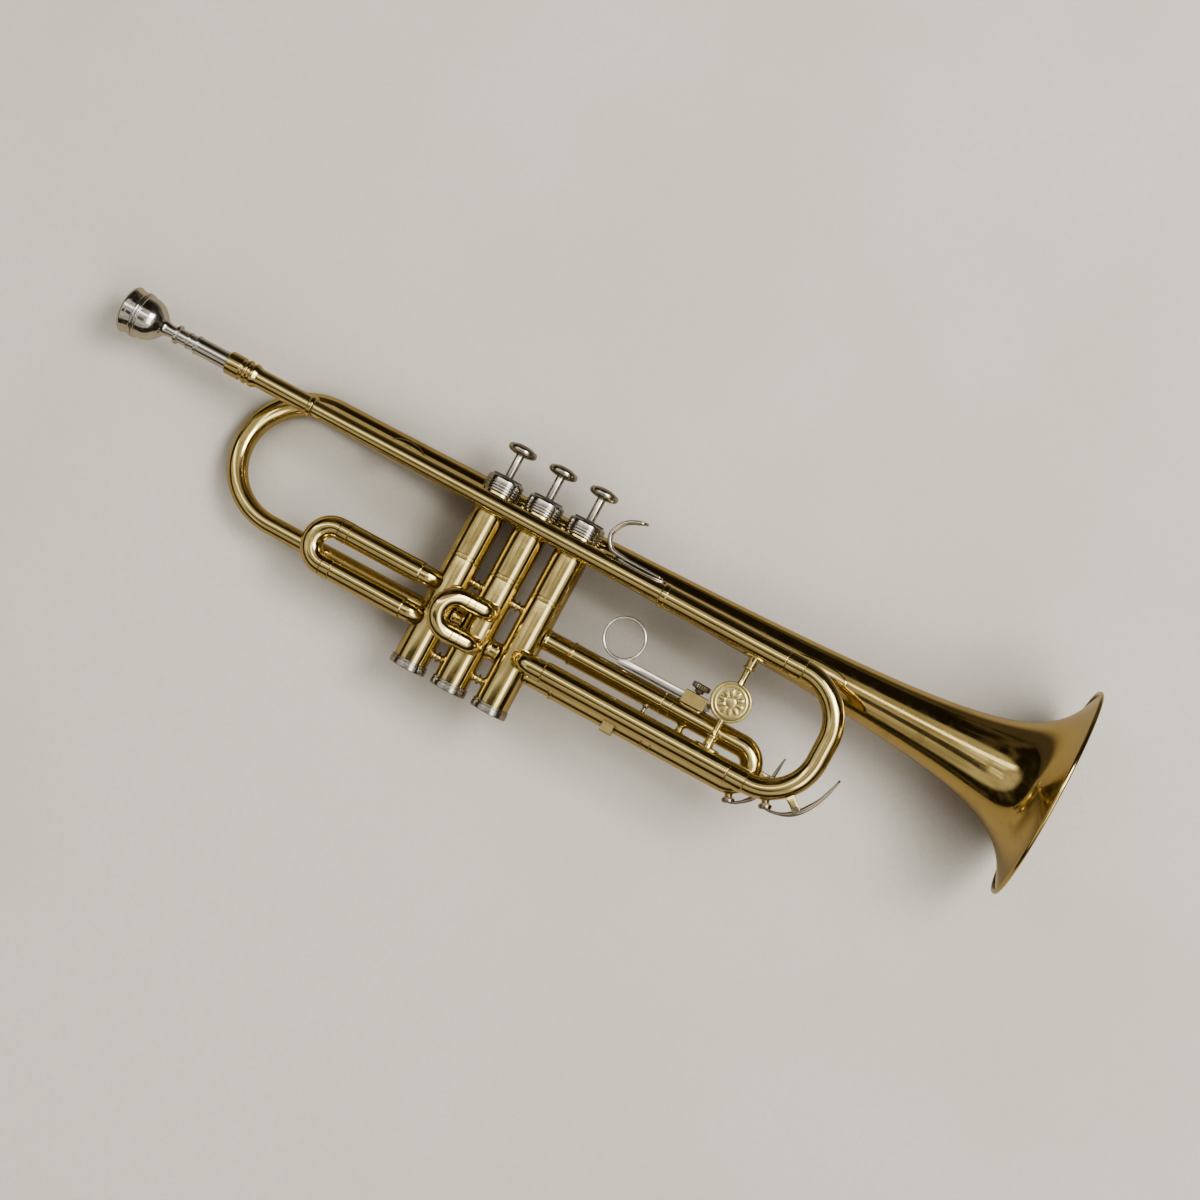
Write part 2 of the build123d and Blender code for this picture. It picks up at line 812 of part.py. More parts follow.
def nipple(centre, direction, start, end, radius):
    """A short rod along a direction in the slide's plane, from one distance to another."""
    first = Vector(*centre) + Vector(*direction) * start
    last = Vector(*centre) + Vector(*direction) * end
    return straight_tube((first.X, first.Y, first.Z), (last.X, last.Y, last.Z), radius)


def key_direction(angle):
    """Unit vector in the slides' upright plane, with the angle measured from +X toward +Z."""
    return (cos(radians(angle)), 0, sin(radians(angle)))


main_key_angle = -66.5
main_lower_corner = (main_corner_x, leadpipe_y, main_lower_z + main_corner_radius)
main_bow_outer = main_corner_radius + main_bow_radius
main_nipple_end = main_bow_outer + nipple_height
pieces["tuning_slide_bow"] = joined(
    [
        bent_tube(main_bow_line, main_bow_radius),
        nipple(
            main_lower_corner,
            key_direction(main_key_angle),
            main_corner_radius,
            main_nipple_end,
            nipple_radius,
        ),
    ],
    [
        bent_tube(main_bow_line, main_bow_radius - tube_wall),
        nipple(
            main_lower_corner,
            key_direction(main_key_angle),
            main_corner_radius,
            main_nipple_end + 1,
            nipple_bore,
        ),
    ],
)


# ---------------------------------------------------------------------------------------------
# Bell, rim wire and bell bow
# ---------------------------------------------------------------------------------------------

bell_plane = lengthwise_plane(bell_y, bell_z)
bell_axis = lengthwise_axis(bell_y, bell_z)
rim_wire_ring_radius = bell_rim_radius - rim_wire_radius
flare_points = 14
flare_crowding = 2.2        # how strongly the points gather toward the mouth
rim_setback = 0.3           # from the bell's edge back to the middle of the rim wire


def bell_radius(x):
    """Outer radius of the bell: a flare that opens as a power of the distance to the rim."""
    return bell_rim_radius * (flare_offset / (bell_rim_x - x + flare_offset)) ** flare_power


def bell_station(radius):
    """Where the bell has a given outer radius."""
    return bell_rim_x + flare_offset - flare_offset * (bell_rim_radius / radius) ** (1 / flare_power)


bell_edge_x = bell_station(rim_wire_ring_radius)


def flare_line(start_x, end_x, growth):
    """Points of the flare, closer together toward the mouth."""
    points = []
    for step in range(flare_points + 1):
        share = 1 - (1 - step / flare_points) ** flare_crowding
        x = start_x + share * (end_x - start_x)
        points.append((x, bell_radius(x) + growth))
    return points


def bell_blank(growth):
    """The bell as if it were solid, grown a little."""
    outline = flare_line(bell_bow_x, bell_edge_x, growth)
    with BuildPart() as blank:
        with BuildSketch(bell_plane):
            with BuildLine():
                Spline(*outline)
                Polyline(outline[-1], (bell_edge_x, 0), (bell_bow_x, 0), outline[0])
            make_face()
        revolve(axis=bell_axis)
    return blank.part


def rim_ring(radius):
    with BuildPart() as ring:
        with BuildSketch(bell_plane):
            with Locations((bell_edge_x - rim_setback, rim_wire_ring_radius)):
                Circle(radius)
        revolve(axis=bell_axis)
    return ring


rim_groove = rim_ring(rim_wire_radius + solder_film).part
outer_flare = flare_line(bell_bow_x, bell_edge_x, 0)
inner_flare = flare_line(bell_bow_x, bell_edge_x, -bell_wall)
with BuildPart() as bell:
    with BuildSketch(bell_plane):
        with BuildLine():
            Spline(*outer_flare)
            Line(outer_flare[-1], inner_flare[-1])
            Spline(*inner_flare)
            Line(inner_flare[0], outer_flare[0])
        make_face()
    revolve(axis=bell_axis)
    add(rim_groove, mode=Mode.SUBTRACT)
pieces["bell"] = bell
pieces["bell_rim_wire"] = rim_ring(rim_wire_radius)

bell_rise = Vector(0, bell_y - bell_leg_y, bell_z - bell_leg_z)
bell_bow_half_gap = bell_rise.length / 2
bell_bow_tube_radius = 6.3
bell_bow_leg = 0.5          # straight ends of the bow, before its curve begins
bell_bow_end_x = bell_bow_x - solder_film
bell_bow_curve_x = bell_bow_end_x - bell_bow_leg
bell_bow_centre = (bell_bow_curve_x, (bell_y + bell_leg_y) / 2, (bell_z + bell_leg_z) / 2)
bell_bow_plane = bow_plane(bell_bow_centre, (-1, 0, 0), tuple(bell_rise.normalized()))
bell_bow_line = bow_path(bell_bow_plane, bell_bow_leg, bell_bow_half_gap, bell_bow_half_gap)
bell_leg_start = (bell_bow_end_x - bell_bow_leg / 2, bell_leg_y, bell_leg_z)
bell_leg_end = (valve_x[1], bell_leg_y, bell_leg_z)
with BuildLine(bell_bow_plane) as bell_bore_line:
    Line((-2 * bell_bow_leg, bell_bow_half_gap), (0, bell_bow_half_gap))
    CenterArc((0, 0), bell_bow_half_gap, 90, -180)
    Line((0, -bell_bow_half_gap), (bell_bow_curve_x - valve_x[1], -bell_bow_half_gap))
pieces["bell_bow"] = joined(
    [
        bent_tube(bell_bow_line, bell_bow_tube_radius),
        straight_tube(bell_leg_start, bell_leg_end, bell_leg_radius),
    ],
    [
        bent_tube(bell_bore_line.wire(), bell_leg_radius - tube_wall),
        casing_blank[1],
    ],
)


# ---------------------------------------------------------------------------------------------
# Braces between the leadpipe side and the bell
# ---------------------------------------------------------------------------------------------

foot_skin = 0.9
brace_rod_radius = 2.2
bell_cut = bell_blank(solder_film)
bell_skin = bell_blank(foot_skin)
leadpipe_cut = leadpipe_blank(solder_film)
leadpipe_skin = leadpipe_blank(foot_skin)


def tube_blank(y, z, radius):
    """A long lengthwise rod, for cutting a foot to a straight slide tube."""
    return straight_tube((main_tube_start_x, y, z), (third_bow_x + 4, y, z), radius)


upper_tube_cut = tube_blank(leadpipe_y, leadpipe_z, main_tube_radius + solder_film)
upper_tube_skin = tube_blank(leadpipe_y, leadpipe_z, main_tube_radius + foot_skin)

rear_brace_x = -85.0
rear_foot_length = 18.0
rear_foot_width = 7.0
rear_flange_length = 21.0
front_brace_x = 144.0
front_foot_length = 20.0
front_foot_width = 8.0
front_flange_x = 172.0
front_flange_length = 34.0
flange_width = 9.0
brace_bead_radius = 3.1
brace_bead_half_length = 1.0
bell_brace_reach = 18.0     # how far a flange's blank reaches from the bell's axis
tube_foot_reach = 9.0       # how far a foot's blank reaches from a tube's axis


def bell_brace(near, far_x, near_foot, near_cut, far_foot_length):
    """A rod from the leadpipe side to the bell with an oval foot at each end."""
    far = (far_x, bell_y, bell_z)
    far_foot = oval_foot(far, (0, -1, 0), far_foot_length, flange_width, bell_cut, bell_skin, bell_brace_reach)
    rod = straight_tube(near, far, brace_rod_radius)
    middle = (Vector(*near) + Vector(*far)) * 0.5
    along = (Vector(*far) - Vector(*near)).normalized()
    bead_start = middle - along * brace_bead_half_length
    bead_end = middle + along * brace_bead_half_length
    bead = straight_tube(tuple(bead_start), tuple(bead_end), brace_bead_radius)
    return joined([near_foot, far_foot, rod, bead], [near_cut, bell_cut])


rear_near = (rear_brace_x, leadpipe_y, leadpipe_z)
rear_foot = oval_foot(
    rear_near, (0, 1, 0), rear_foot_length, rear_foot_width, leadpipe_cut, leadpipe_skin, tube_foot_reach
)
pieces["bell_brace_rear"] = bell_brace(
    rear_near, rear_brace_x, rear_foot, leadpipe_cut, rear_flange_length
)

front_near = (front_brace_x, leadpipe_y, leadpipe_z)
front_foot = oval_foot(
    front_near, (0, 1, 0), front_foot_length, front_foot_width, upper_tube_cut, upper_tube_skin, tube_foot_reach
)
pieces["bell_brace_front"] = bell_brace(
    front_near, front_flange_x, front_foot, upper_tube_cut, front_flange_length
)


# ---------------------------------------------------------------------------------------------
# Medallion and its two posts
# ---------------------------------------------------------------------------------------------

lower_tube_cut = tube_blank(leadpipe_y, main_lower_z, main_tube_radius + solder_film)
lower_tube_skin = tube_blank(leadpipe_y, main_lower_z, main_tube_radius + foot_skin)
post_wide_radius = 2.65
post_thin_radius = 1.75
post_foot_length = 14.0
post_foot_width = 7.0


def medallion_blank(growth):
    with BuildPart() as blank:
        with BuildSketch(Plane.XZ.offset(-leadpipe_y - medallion_thickness / 2 - growth)):
            with Locations((medallion_x, medallion_z)):
                Circle(medallion_radius + growth)
        extrude(amount=medallion_thickness + 2 * growth)
    return blank.part


def medallion_post(tube_z, outward, foot, cut):
    """A turned post from a slide tube to the medallion: wide, a ring, then a thin neck."""
    heights = [
        (0, 0),
        (post_wide_radius, 0),
        (post_wide_radius, 0.52),
        (post_wide_radius + 0.7, 0.54),
        (post_wide_radius + 0.7, 0.58),
        (post_thin_radius + 0.3, 0.60),
        (post_thin_radius, 1),
        (0, 1),
    ]
    reach = abs(tube_z - medallion_z)
    points = []
    for radius, share in heights:
        # the wide end starts on the tube's axis, and the neck ends inside the medallion's edge
        distance = share * (reach - medallion_radius + 1)
        points.append((radius, tube_z + outward * distance))
    post = lathe(upright_plane(medallion_x, leadpipe_y), upright_axis(medallion_x, leadpipe_y), points)
    return joined([post, foot], [cut, medallion_cut])


medallion_cut = medallion_blank(solder_film)
upper_post_foot = oval_foot(
    (medallion_x, leadpipe_y, leadpipe_z),
    (0, 0, -1),
    post_foot_length,
    post_foot_width,
    upper_tube_cut,
    upper_tube_skin,
    tube_foot_reach,
)
lower_post_foot = oval_foot(
    (medallion_x, leadpipe_y, main_lower_z),
    (0, 0, 1),
    post_foot_length,
    post_foot_width,
    lower_tube_cut,
    lower_tube_skin,
    tube_foot_reach,
)
upper_post = medallion_post(leadpipe_z, -1, upper_post_foot, upper_tube_cut)
lower_post = medallion_post(main_lower_z, 1, lower_post_foot, lower_tube_cut)
pieces["medallion_posts"] = joined([upper_post.part, lower_post.part], [])

medallion_sink = 0.5
with BuildPart() as medallion:
    add(medallion_blank(0))
    fillet(medallion.edges().filter_by(GeomType.CIRCLE), radius=0.4)
    # the face is sunk inside a raised rim, leaving a ring and a boss
    with BuildSketch(Plane.XZ.offset(-leadpipe_y + medallion_thickness / 2)):
        with Locations((medallion_x, medallion_z)):
            Circle(medallion_radius - 1.5)
            Circle(medallion_radius - 4.2, mode=Mode.SUBTRACT)
            Circle(medallion_radius - 5.0)
            Circle(3.0, mode=Mode.SUBTRACT)
    extrude(amount=-medallion_sink, mode=Mode.SUBTRACT)
pieces["medallion"] = medallion


# ---------------------------------------------------------------------------------------------
# First valve slide
# ---------------------------------------------------------------------------------------------

first_tube_bore = first_tube_radius - tube_wall
first_inner_radius = first_tube_bore - running_gap
first_elbow_radius = 5.6
first_elbow_bore = 5.0
first_elbow_bend = 12.0
first_bore_end_x = first_tube_start_x - 3
first_levels = (first_upper_z, first_lower_z)


def first_fixed_leg(z):
    path = elbow_path(1, 1, first_y, z, first_elbow_bend, first_bend, first_bore_end_x)
    seam = (first_seam_x + solder_film, first_y, z)
    return joined(
        [
            bent_tube(path, first_elbow_radius),
            straight_tube(seam, (first_tube_start_x, first_y, z), first_tube_radius),
        ],
        [
            bent_tube(path, first_elbow_bore),
            straight_tube(seam, (first_bore_end_x, first_y, z), first_tube_bore),
            casing_blank[1],
        ],
    )


first_fixed_legs = [first_fixed_leg(z).part for z in first_levels]
pieces["first_slide_outer_tubes"] = joined(first_fixed_legs, [])
pieces["first_slide_legs"] = joined([
    slide_leg(
        first_y,
        z,
        first_bore_end_x - 2,
        first_seam_x,
        first_bow_x + solder_film,
        first_inner_radius,
        first_tube_radius + ferrule_step,
    )
    for z in first_levels
], [])

first_centre_z = (first_upper_z + first_lower_z) / 2
first_half_gap = (first_upper_z - first_lower_z) / 2
first_bow_line = bow_path(
    bow_plane((first_bow_x - 0.5, first_y, first_centre_z), (-1, 0, 0), (0, 0, 1)),
    0.5,
    first_half_gap,
    first_half_gap,
)
first_bow = bent_tube(first_bow_line, first_tube_radius, first_tube_radius - tube_wall)
pieces["first_slide_bow"] = joined([first_bow], [])


# ---------------------------------------------------------------------------------------------
# Second valve slide
# ---------------------------------------------------------------------------------------------

second_elbow_radius = 6.0
second_elbow_start_y = -10.2
second_straight = 5.1
second_ferrule = 4.5
second_tube_bore = second_tube_radius - tube_wall
second_inner_radius = second_tube_bore - running_gap
second_heading = Vector(-cos(radians(second_lean)), -sin(radians(second_lean)), 0)
second_turn = 90 - second_lean
second_bend_end = Vector(
    second_port_x - second_elbow_radius * (1 - cos(radians(second_turn))),
    second_elbow_start_y - second_elbow_radius * sin(radians(second_turn)),
    0,
)
second_levels = (second_upper_z, second_lower_z)


def second_point(distance, z):
    """A point on the slide's axis, measured from the end of the elbow."""
    point = second_bend_end + second_heading * distance
    return (point.X, point.Y, z)


def second_fixed_leg(z):
    seam = second_point(second_straight - solder_film, z)
    with BuildLine(Plane.XY.offset(z)) as path:
        Line((second_port_x, 0), (second_port_x, second_elbow_start_y))
        JernArc((second_port_x, second_elbow_start_y), (0, -1), second_elbow_radius, -second_turn)
        Line((second_bend_end.X, second_bend_end.Y), (seam[0], seam[1]))
    wire = path.wire()
    socket = straight_tube(second_point(0, z), second_point(second_straight + 1, z), second_tube_bore)
    return joined(
        [bent_tube(wire, second_tube_radius)],
        [bent_tube(wire, port_radius), socket, casing_blank[2]],
    )


second_fixed_legs = [second_fixed_leg(z).part for z in second_levels]
pieces["second_slide_outer_tubes"] = joined(second_fixed_legs, [])


def second_moving_leg(z):
    inner_start = second_point(0.1, z)
    ferrule_start = second_point(second_straight, z)
    ferrule_end = second_point(second_straight + second_ferrule - solder_film, z)
    return joined(
        [
            straight_tube(inner_start, ferrule_end, second_inner_radius),
            straight_tube(ferrule_start, ferrule_end, second_tube_radius + ferrule_step),
        ],
        [straight_tube(inner_start, ferrule_end, second_inner_radius - tube_wall)],
    )


second_moving_legs = [second_moving_leg(z).part for z in second_levels]
pieces["second_slide_legs"] = joined(second_moving_legs, [])

second_centre_z = (second_upper_z + second_lower_z) / 2
second_half_gap = (second_upper_z - second_lower_z) / 2
second_bow_leg = 1.5
second_bow_line = bow_path(
    bow_plane(
        second_point(second_straight + second_ferrule + second_bow_leg, second_centre_z),
        tuple(second_heading),
        (0, 0, 1),
    ),
    second_bow_leg,
    second_half_gap,
    second_half_gap,
)
second_bow = bent_tube(second_bow_line, second_tube_radius, second_tube_radius - tube_wall)
pieces["second_slide_bow"] = joined([second_bow], [])


# ---------------------------------------------------------------------------------------------
# Third valve slide with its braces
# ---------------------------------------------------------------------------------------------

third_tube_bore = third_tube_radius - tube_wall
third_inner_radius = third_tube_bore - running_gap
third_port_radius = 5.9
third_levels = (third_upper_z, third_lower_z)


def third_fixed_leg(z):
    """A port tube from the casing, a collar, and the slide's outer tube."""
    bore_start = (third_collar_x + 4, 0, z)
    seam = (third_seam_x - solder_film, 0, z)
    return joined(
        [
            straight_tube((valve_x[3], 0, z), (third_collar_x, 0, z), third_port_radius),
            straight_tube((third_collar_x - 0.8, 0, z), (third_collar_x + 0.8, 0, z), third_tube_radius + 0.4),
            straight_tube((third_collar_x, 0, z), seam, third_tube_radius),
        ],
        [
            straight_tube((valve_x[3], 0, z), bore_start, port_radius),
            straight_tube(bore_start, seam, third_tube_bore),
            casing_blank[3],
        ],
    )


third_fixed_legs = [third_fixed_leg(z).part for z in third_levels]
pieces["third_slide_outer_tubes"] = joined(third_fixed_legs, [])
pieces["third_slide_legs"] = joined([
    slide_leg(
        0,
        z,
        third_collar_x + 7,
        third_seam_x,
        third_ferrule_end_x - solder_film,
        third_inner_radius,
        third_tube_radius + ferrule_step,
    )
    for z in third_levels
], [])

third_centre_z = (third_upper_z + third_lower_z) / 2
third_half_gap = (third_upper_z - third_lower_z) / 2
third_bow_centre = (third_bow_x, 0, third_centre_z)
third_bow_line = bow_path(
    bow_plane(third_bow_centre, (1, 0, 0), (0, 0, 1)),
    third_bow_x - third_ferrule_end_x,
    third_half_gap,
    third_half_gap,
)
third_key_angle = -67.0
third_nipple_end = third_half_gap + third_tube_radius + nipple_height
third_nipple_direction = key_direction(third_key_angle)
pieces["third_slide_bow"] = joined(
    [
        bent_tube(third_bow_line, third_tube_radius),
        nipple(third_bow_centre, third_nipple_direction, third_half_gap, third_nipple_end, nipple_radius),
    ],
    [
        bent_tube(third_bow_line, third_tube_radius - tube_wall),
        nipple(third_bow_centre, third_nipple_direction, third_half_gap, third_nipple_end + 1, nipple_bore),
    ],
)

third_tube_cuts = [
    straight_tube((third_collar_x, 0, z), (third_bow_x, 0, z), third_tube_radius + solder_film)
    for z in third_levels
]


def leg_brace(x, post_radius, bead_radius):
    """A turned post between the slide's two legs, with a bead at its middle."""
    points = [
        (0, third_lower_z),
        (post_radius, third_lower_z),
        (post_radius, third_centre_z - 1.6),
        (bead_radius, third_centre_z - 0.8),
        (bead_radius, third_centre_z + 0.8),
        (post_radius, third_centre_z + 1.6),
        (post_radius, third_upper_z),
        (0, third_upper_z),
    ]
    return joined([lathe(upright_plane(x, 0), upright_axis(x, 0), points)], third_tube_cuts)


fixed_brace_x = 99.5
moving_brace_x = 121.6
pieces["third_slide_fixed_brace"] = leg_brace(fixed_brace_x, 1.1, 1.7)
pieces["third_slide_moving_brace"] = leg_brace(moving_brace_x, 2.0, 3.3)

plate_start_x = 84.3
plate_end_x = 90.8
plate_bottom_z = 21.3
plate_width = 10.0
plate_centre_y = -7.75
with BuildPart() as slide_tie_plate:
    with BuildSketch(Plane.YZ.offset(plate_start_x)):
        with Locations((plate_centre_y, (plate_bottom_z + main_lower_z) / 2)):
            RectangleRounded(plate_width, main_lower_z - plate_bottom_z, 0.8)
    extrude(amount=plate_end_x - plate_start_x)
    add(lower_tube_cut, mode=Mode.SUBTRACT)
    add(third_tube_cuts[1], mode=Mode.SUBTRACT)
pieces["slide_tie_plate"] = slide_tie_plate


# ---------------------------------------------------------------------------------------------
# Finger ring, its clamp and its thumb screw
# ---------------------------------------------------------------------------------------------

bar_half_thickness = 1.0
bar_gap = 0.1
clamp_half_width = 3.6
clamp_bottom_z = third_upper_z + 4.0
clamp_top_z = 63.2
screw_radius = 1.15
screw_x = (clamp_start_x + clamp_end_x) / 2
screw_head_bottom_z = 65.6
screw_head_top_z = 69.0
screw_head_radius = 5.15
screw_notches = 20
screw_notch_radius = 0.6

with BuildPart() as finger_ring:
    with BuildSketch(Plane(origin=(ring_x, 0, ring_z), x_dir=(1, 0, 0), z_dir=(0, 0, 1))):
        with Locations((ring_radius, 0)):
            Circle(ring_wire_radius)
    revolve(axis=Axis((ring_x, 0, ring_z), (0, 1, 0)))
    with BuildSketch(Plane.XZ.offset(-bar_half_thickness)):
        with BuildLine():
            Polyline(
                (ring_x + 2.0, ring_bar_bottom_z),
                (clamp_end_x + 3.0, ring_bar_bottom_z),
                (clamp_end_x + 3.0, ring_bar_top_z),
                (ring_x + 7.9, ring_bar_top_z),
                (ring_x + 2.0, ring_z - ring_radius),
                close=True,
            )
        make_face()
    extrude(amount=2 * bar_half_thickness)
pieces["finger_ring"] = finger_ring

clamp_foot_skin = 0.5
clamp_foot_length = 17.0
clamp_foot_width = 9.6
clamp_tube_skin = straight_tube(
    (third_ferrule_end_x, 0, third_upper_z),
    (third_bow_x, 0, third_upper_z),
    third_tube_radius + clamp_foot_skin,
)
clamp_foot = oval_foot(
    (screw_x, 0, third_upper_z),
    (0, 0, 1),
    clamp_foot_length,
    clamp_foot_width,
    third_tube_cuts[0],
    clamp_tube_skin,
    tube_foot_reach,
)
with BuildPart() as ring_clamp:
    with BuildSketch(Plane.YZ.offset(clamp_start_x)):
        with Locations((0, (clamp_bottom_z + clamp_top_z) / 2)):
            Rectangle(2 * clamp_half_width, clamp_top_z - clamp_bottom_z)
    extrude(amount=clamp_end_x - clamp_start_x)
    chamfer(ring_clamp.edges().group_by(Axis.Z)[-1], length=0.4)
    add(clamp_foot)
    with BuildSketch(Plane.YZ.offset(clamp_start_x)):
        with Locations((0, (ring_bar_bottom_z + ring_bar_top_z) / 2)):
            Rectangle(2 * (bar_half_thickness + bar_gap), ring_bar_top_z - ring_bar_bottom_z + 2 * bar_gap)
    extrude(amount=clamp_end_x - clamp_start_x, mode=Mode.SUBTRACT)
    with BuildSketch(Plane(origin=(screw_x, 0, ring_bar_top_z))):
        Circle(screw_radius + running_gap)
    extrude(amount=clamp_top_z, mode=Mode.SUBTRACT)
    add(third_tube_cuts[0], mode=Mode.SUBTRACT)
pieces["ring_clamp"] = ring_clamp

with BuildPart() as ring_thumb_screw:
    with BuildSketch(Plane(origin=(screw_x, 0, ring_bar_top_z + bar_gap))):
        Circle(screw_radius)
    extrude(amount=screw_head_bottom_z - ring_bar_top_z)
    with BuildSketch(Plane(origin=(screw_x, 0, screw_head_bottom_z))):
        Circle(screw_head_radius)
        with PolarLocations(screw_head_radius + 0.35, screw_notches):
            Circle(screw_notch_radius, mode=Mode.SUBTRACT)
    extrude(amount=screw_head_top_z - screw_head_bottom_z)
pieces["ring_thumb_screw"] = ring_thumb_screw


# ---------------------------------------------------------------------------------------------
# Water keys: a saddle on the bow, a pivot screw, a lever with its cup, and a cork
# ---------------------------------------------------------------------------------------------

ear_gap = 3.3
ear_thickness = 1.2
ear_radius = 2.4
cup_radius_outer = cork_radius + 0.7
key_head_radius = 1.9
key_head_height = 1.2
key_slot_width = 0.5
key_slot_depth = 0.5
cork_height = 2.0
cup_floor = 1.1


def key_saddle(pivot, seat, bow_cut, depth):
    """Two ears round the pivot on a block that is cut to the bow."""
    x, y, z = pivot
    toward = Vector(seat[0] - x, 0, seat[1] - z)
    reach = toward.length
    direction = toward.normalized()
    ear_plane = Plane(origin=(x, y + ear_gap + ear_thickness, z), x_dir=tuple(direction), z_dir=(0, -1, 0))
    with BuildPart() as saddle:
        with BuildSketch(ear_plane):
            Circle(ear_radius)
            with Locations((reach / 2, 0)):
                Rectangle(reach, 2 * ear_radius)
        extrude(amount=2 * (ear_gap + ear_thickness))
        with BuildSketch(Plane(origin=(x, y + ear_gap, z), x_dir=tuple(direction), z_dir=(0, -1, 0))):
            with Locations((depth - 6, 0)):
                Rectangle(12, 6 * ear_radius)
        extrude(amount=2 * ear_gap, mode=Mode.SUBTRACT)
        with BuildSketch(ear_plane):
            Circle(key_pin_radius + solder_film)
        extrude(amount=2 * (ear_gap + ear_thickness), mode=Mode.SUBTRACT)
        add(bow_cut, mode=Mode.SUBTRACT)
    return saddle


def key_screw(pivot):
    """The pivot screw, with a slotted round head on the player's right."""
    x, y, z = pivot
    outer = ear_gap + ear_thickness
    with BuildPart() as screw:
        with BuildSketch(Plane(origin=(x, y + outer + 0.4, z), x_dir=(1, 0, 0), z_dir=(0, -1, 0))):
            Circle(key_pin_radius)
        extrude(amount=2 * outer + 0.4 + 2 * solder_film)
        head_plane = Plane(origin=(x, y - outer - solder_film, z), x_dir=(1, 0, 0), z_dir=(0, -1, 0))
        with BuildSketch(head_plane):
            Circle(key_head_radius)
        extrude(amount=key_head_height)
        with BuildSketch(head_plane.offset(key_head_height - key_slot_depth)):
            Rectangle(2 * key_head_radius + 0.2, key_slot_width)
        extrude(amount=key_head_height, mode=Mode.SUBTRACT)
    return screw


def key_lever(pivot, line, cup_centre, cup_direction):
    """A bent strap on a hub, with a cup for the cork at one end and a finger tip at the other."""
    x, y, z = pivot
    cup_base = Vector(*cup_centre) + Vector(*cup_direction) * cork_height
    cup_top = Vector(*cup_centre) + Vector(*cup_direction) * 0.8
    cup_back = cup_base + Vector(*cup_direction) * cup_floor
    cup = straight_tube(tuple(cup_top), tuple(cup_back), cup_radius_outer)
    hollow = straight_tube(cup_centre, tuple(cup_base), cork_radius + solder_film)
    hub = straight_tube((x, y - ear_gap + 0.1, z), (x, y + ear_gap - 0.1, z), key_hub_radius)
    pin_hole = straight_tube((x, y - ear_gap, z), (x, y + ear_gap, z), key_pin_radius + running_gap)
    with BuildPart() as lever:
        with BuildSketch(Plane.XZ.offset(-y)):
            trace(line, key_strap)
        extrude(amount=key_width / 2, both=True)
        add(cup)
        add(hub)
        add(hollow, mode=Mode.SUBTRACT)
        add(pin_hole, mode=Mode.SUBTRACT)
    return lever


def key_cork(centre, direction):
    base = Vector(*centre) + Vector(*direction) * (cork_height - solder_film)
    return joined([straight_tube(centre, tuple(base), cork_radius)], [])


def point_along(centre, direction, distance):
    return tuple(Vector(*centre) + Vector(*direction) * distance)


# Main water key, on the lower corner of the tuning slide's bow
main_pivot = (main_key_x, leadpipe_y, main_key_z)
main_key_direction = key_direction(main_key_angle)
main_cork_top = point_along(main_lower_corner, main_key_direction, main_nipple_end + solder_film)
main_cup_back = point_along(main_cork_top, main_key_direction, cork_height + cup_floor / 2)
main_bow_cut = bent_tube(main_bow_line, main_bow_radius + solder_film)
main_seat = (main_corner_x + 0.7 * main_corner_radius, main_lower_z + 0.3 * main_corner_radius)
pieces["water_key_saddle"] = key_saddle(main_pivot, main_seat, main_bow_cut, 3.2)
pieces["water_key_screw"] = key_screw(main_pivot)
with BuildLine() as main_key_line:
    Spline(
        (main_cup_back[0] - 1.0, main_cup_back[2]),
        (main_key_x - 5.0, main_key_z - 5.9),
        (main_key_x + 1.6, main_key_z - 1.6),
        (main_key_x + 9.0, main_key_z + 9.0),
        (main_key_x + 13.2, main_key_z + 24.6),
        tangents=[(1, -0.25), (0.2, 1)],
    )
pieces["water_key_lever"] = key_lever(main_pivot, main_key_line.line, main_cork_top, main_key_direction)
pieces["water_key_cork"] = key_cork(main_cork_top, main_key_direction)

# Third slide's water key, round the outside of that slide's bow
third_pivot = (third_key_x, 0, third_key_z)
third_cork_top = point_along(third_bow_centre, third_nipple_direction, third_nipple_end + solder_film)
third_cup_back = point_along(third_cork_top, third_nipple_direction, cork_height + cup_floor / 2)
third_bow_cut = bent_tube(third_bow_line, third_tube_radius + solder_film)
third_seat = (third_bow_x + third_half_gap, third_key_z)
pieces["third_water_key_saddle"] = key_saddle(third_pivot, third_seat, third_bow_cut, 2.9)
pieces["third_water_key_screw"] = key_screw(third_pivot)
with BuildLine() as third_key_line:
    Spline(
        (third_cup_back[0] - 1.0, third_cup_back[2] - 0.3),
        (third_key_x - 3.4, third_key_z - 13.8),
        (third_key_x + 1.2, third_key_z - 2.9),
        (third_key_x + 2.0, third_key_z + 5.0),
        (third_key_x + 3.0, third_key_z + 14.0),
        tangents=[(1, 0.1), (0.2, 1)],
    )
pieces["third_water_key_lever"] = key_lever(
    third_pivot, third_key_line.line, third_cork_top, third_nipple_direction
)
pieces["third_water_key_cork"] = key_cork(third_cork_top, third_nipple_direction)


# ---------------------------------------------------------------------------------------------
# One STEP file per piece
# ---------------------------------------------------------------------------------------------

os.makedirs("parts", exist_ok=True)
for label, name in pieces.items():
    name.part.label = label
    export_step(name.part, f"parts/{label}.step")
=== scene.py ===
import json
from math import cos, pi, radians, sin, tan
import bmesh
import bpy
from mathutils import Matrix, Vector

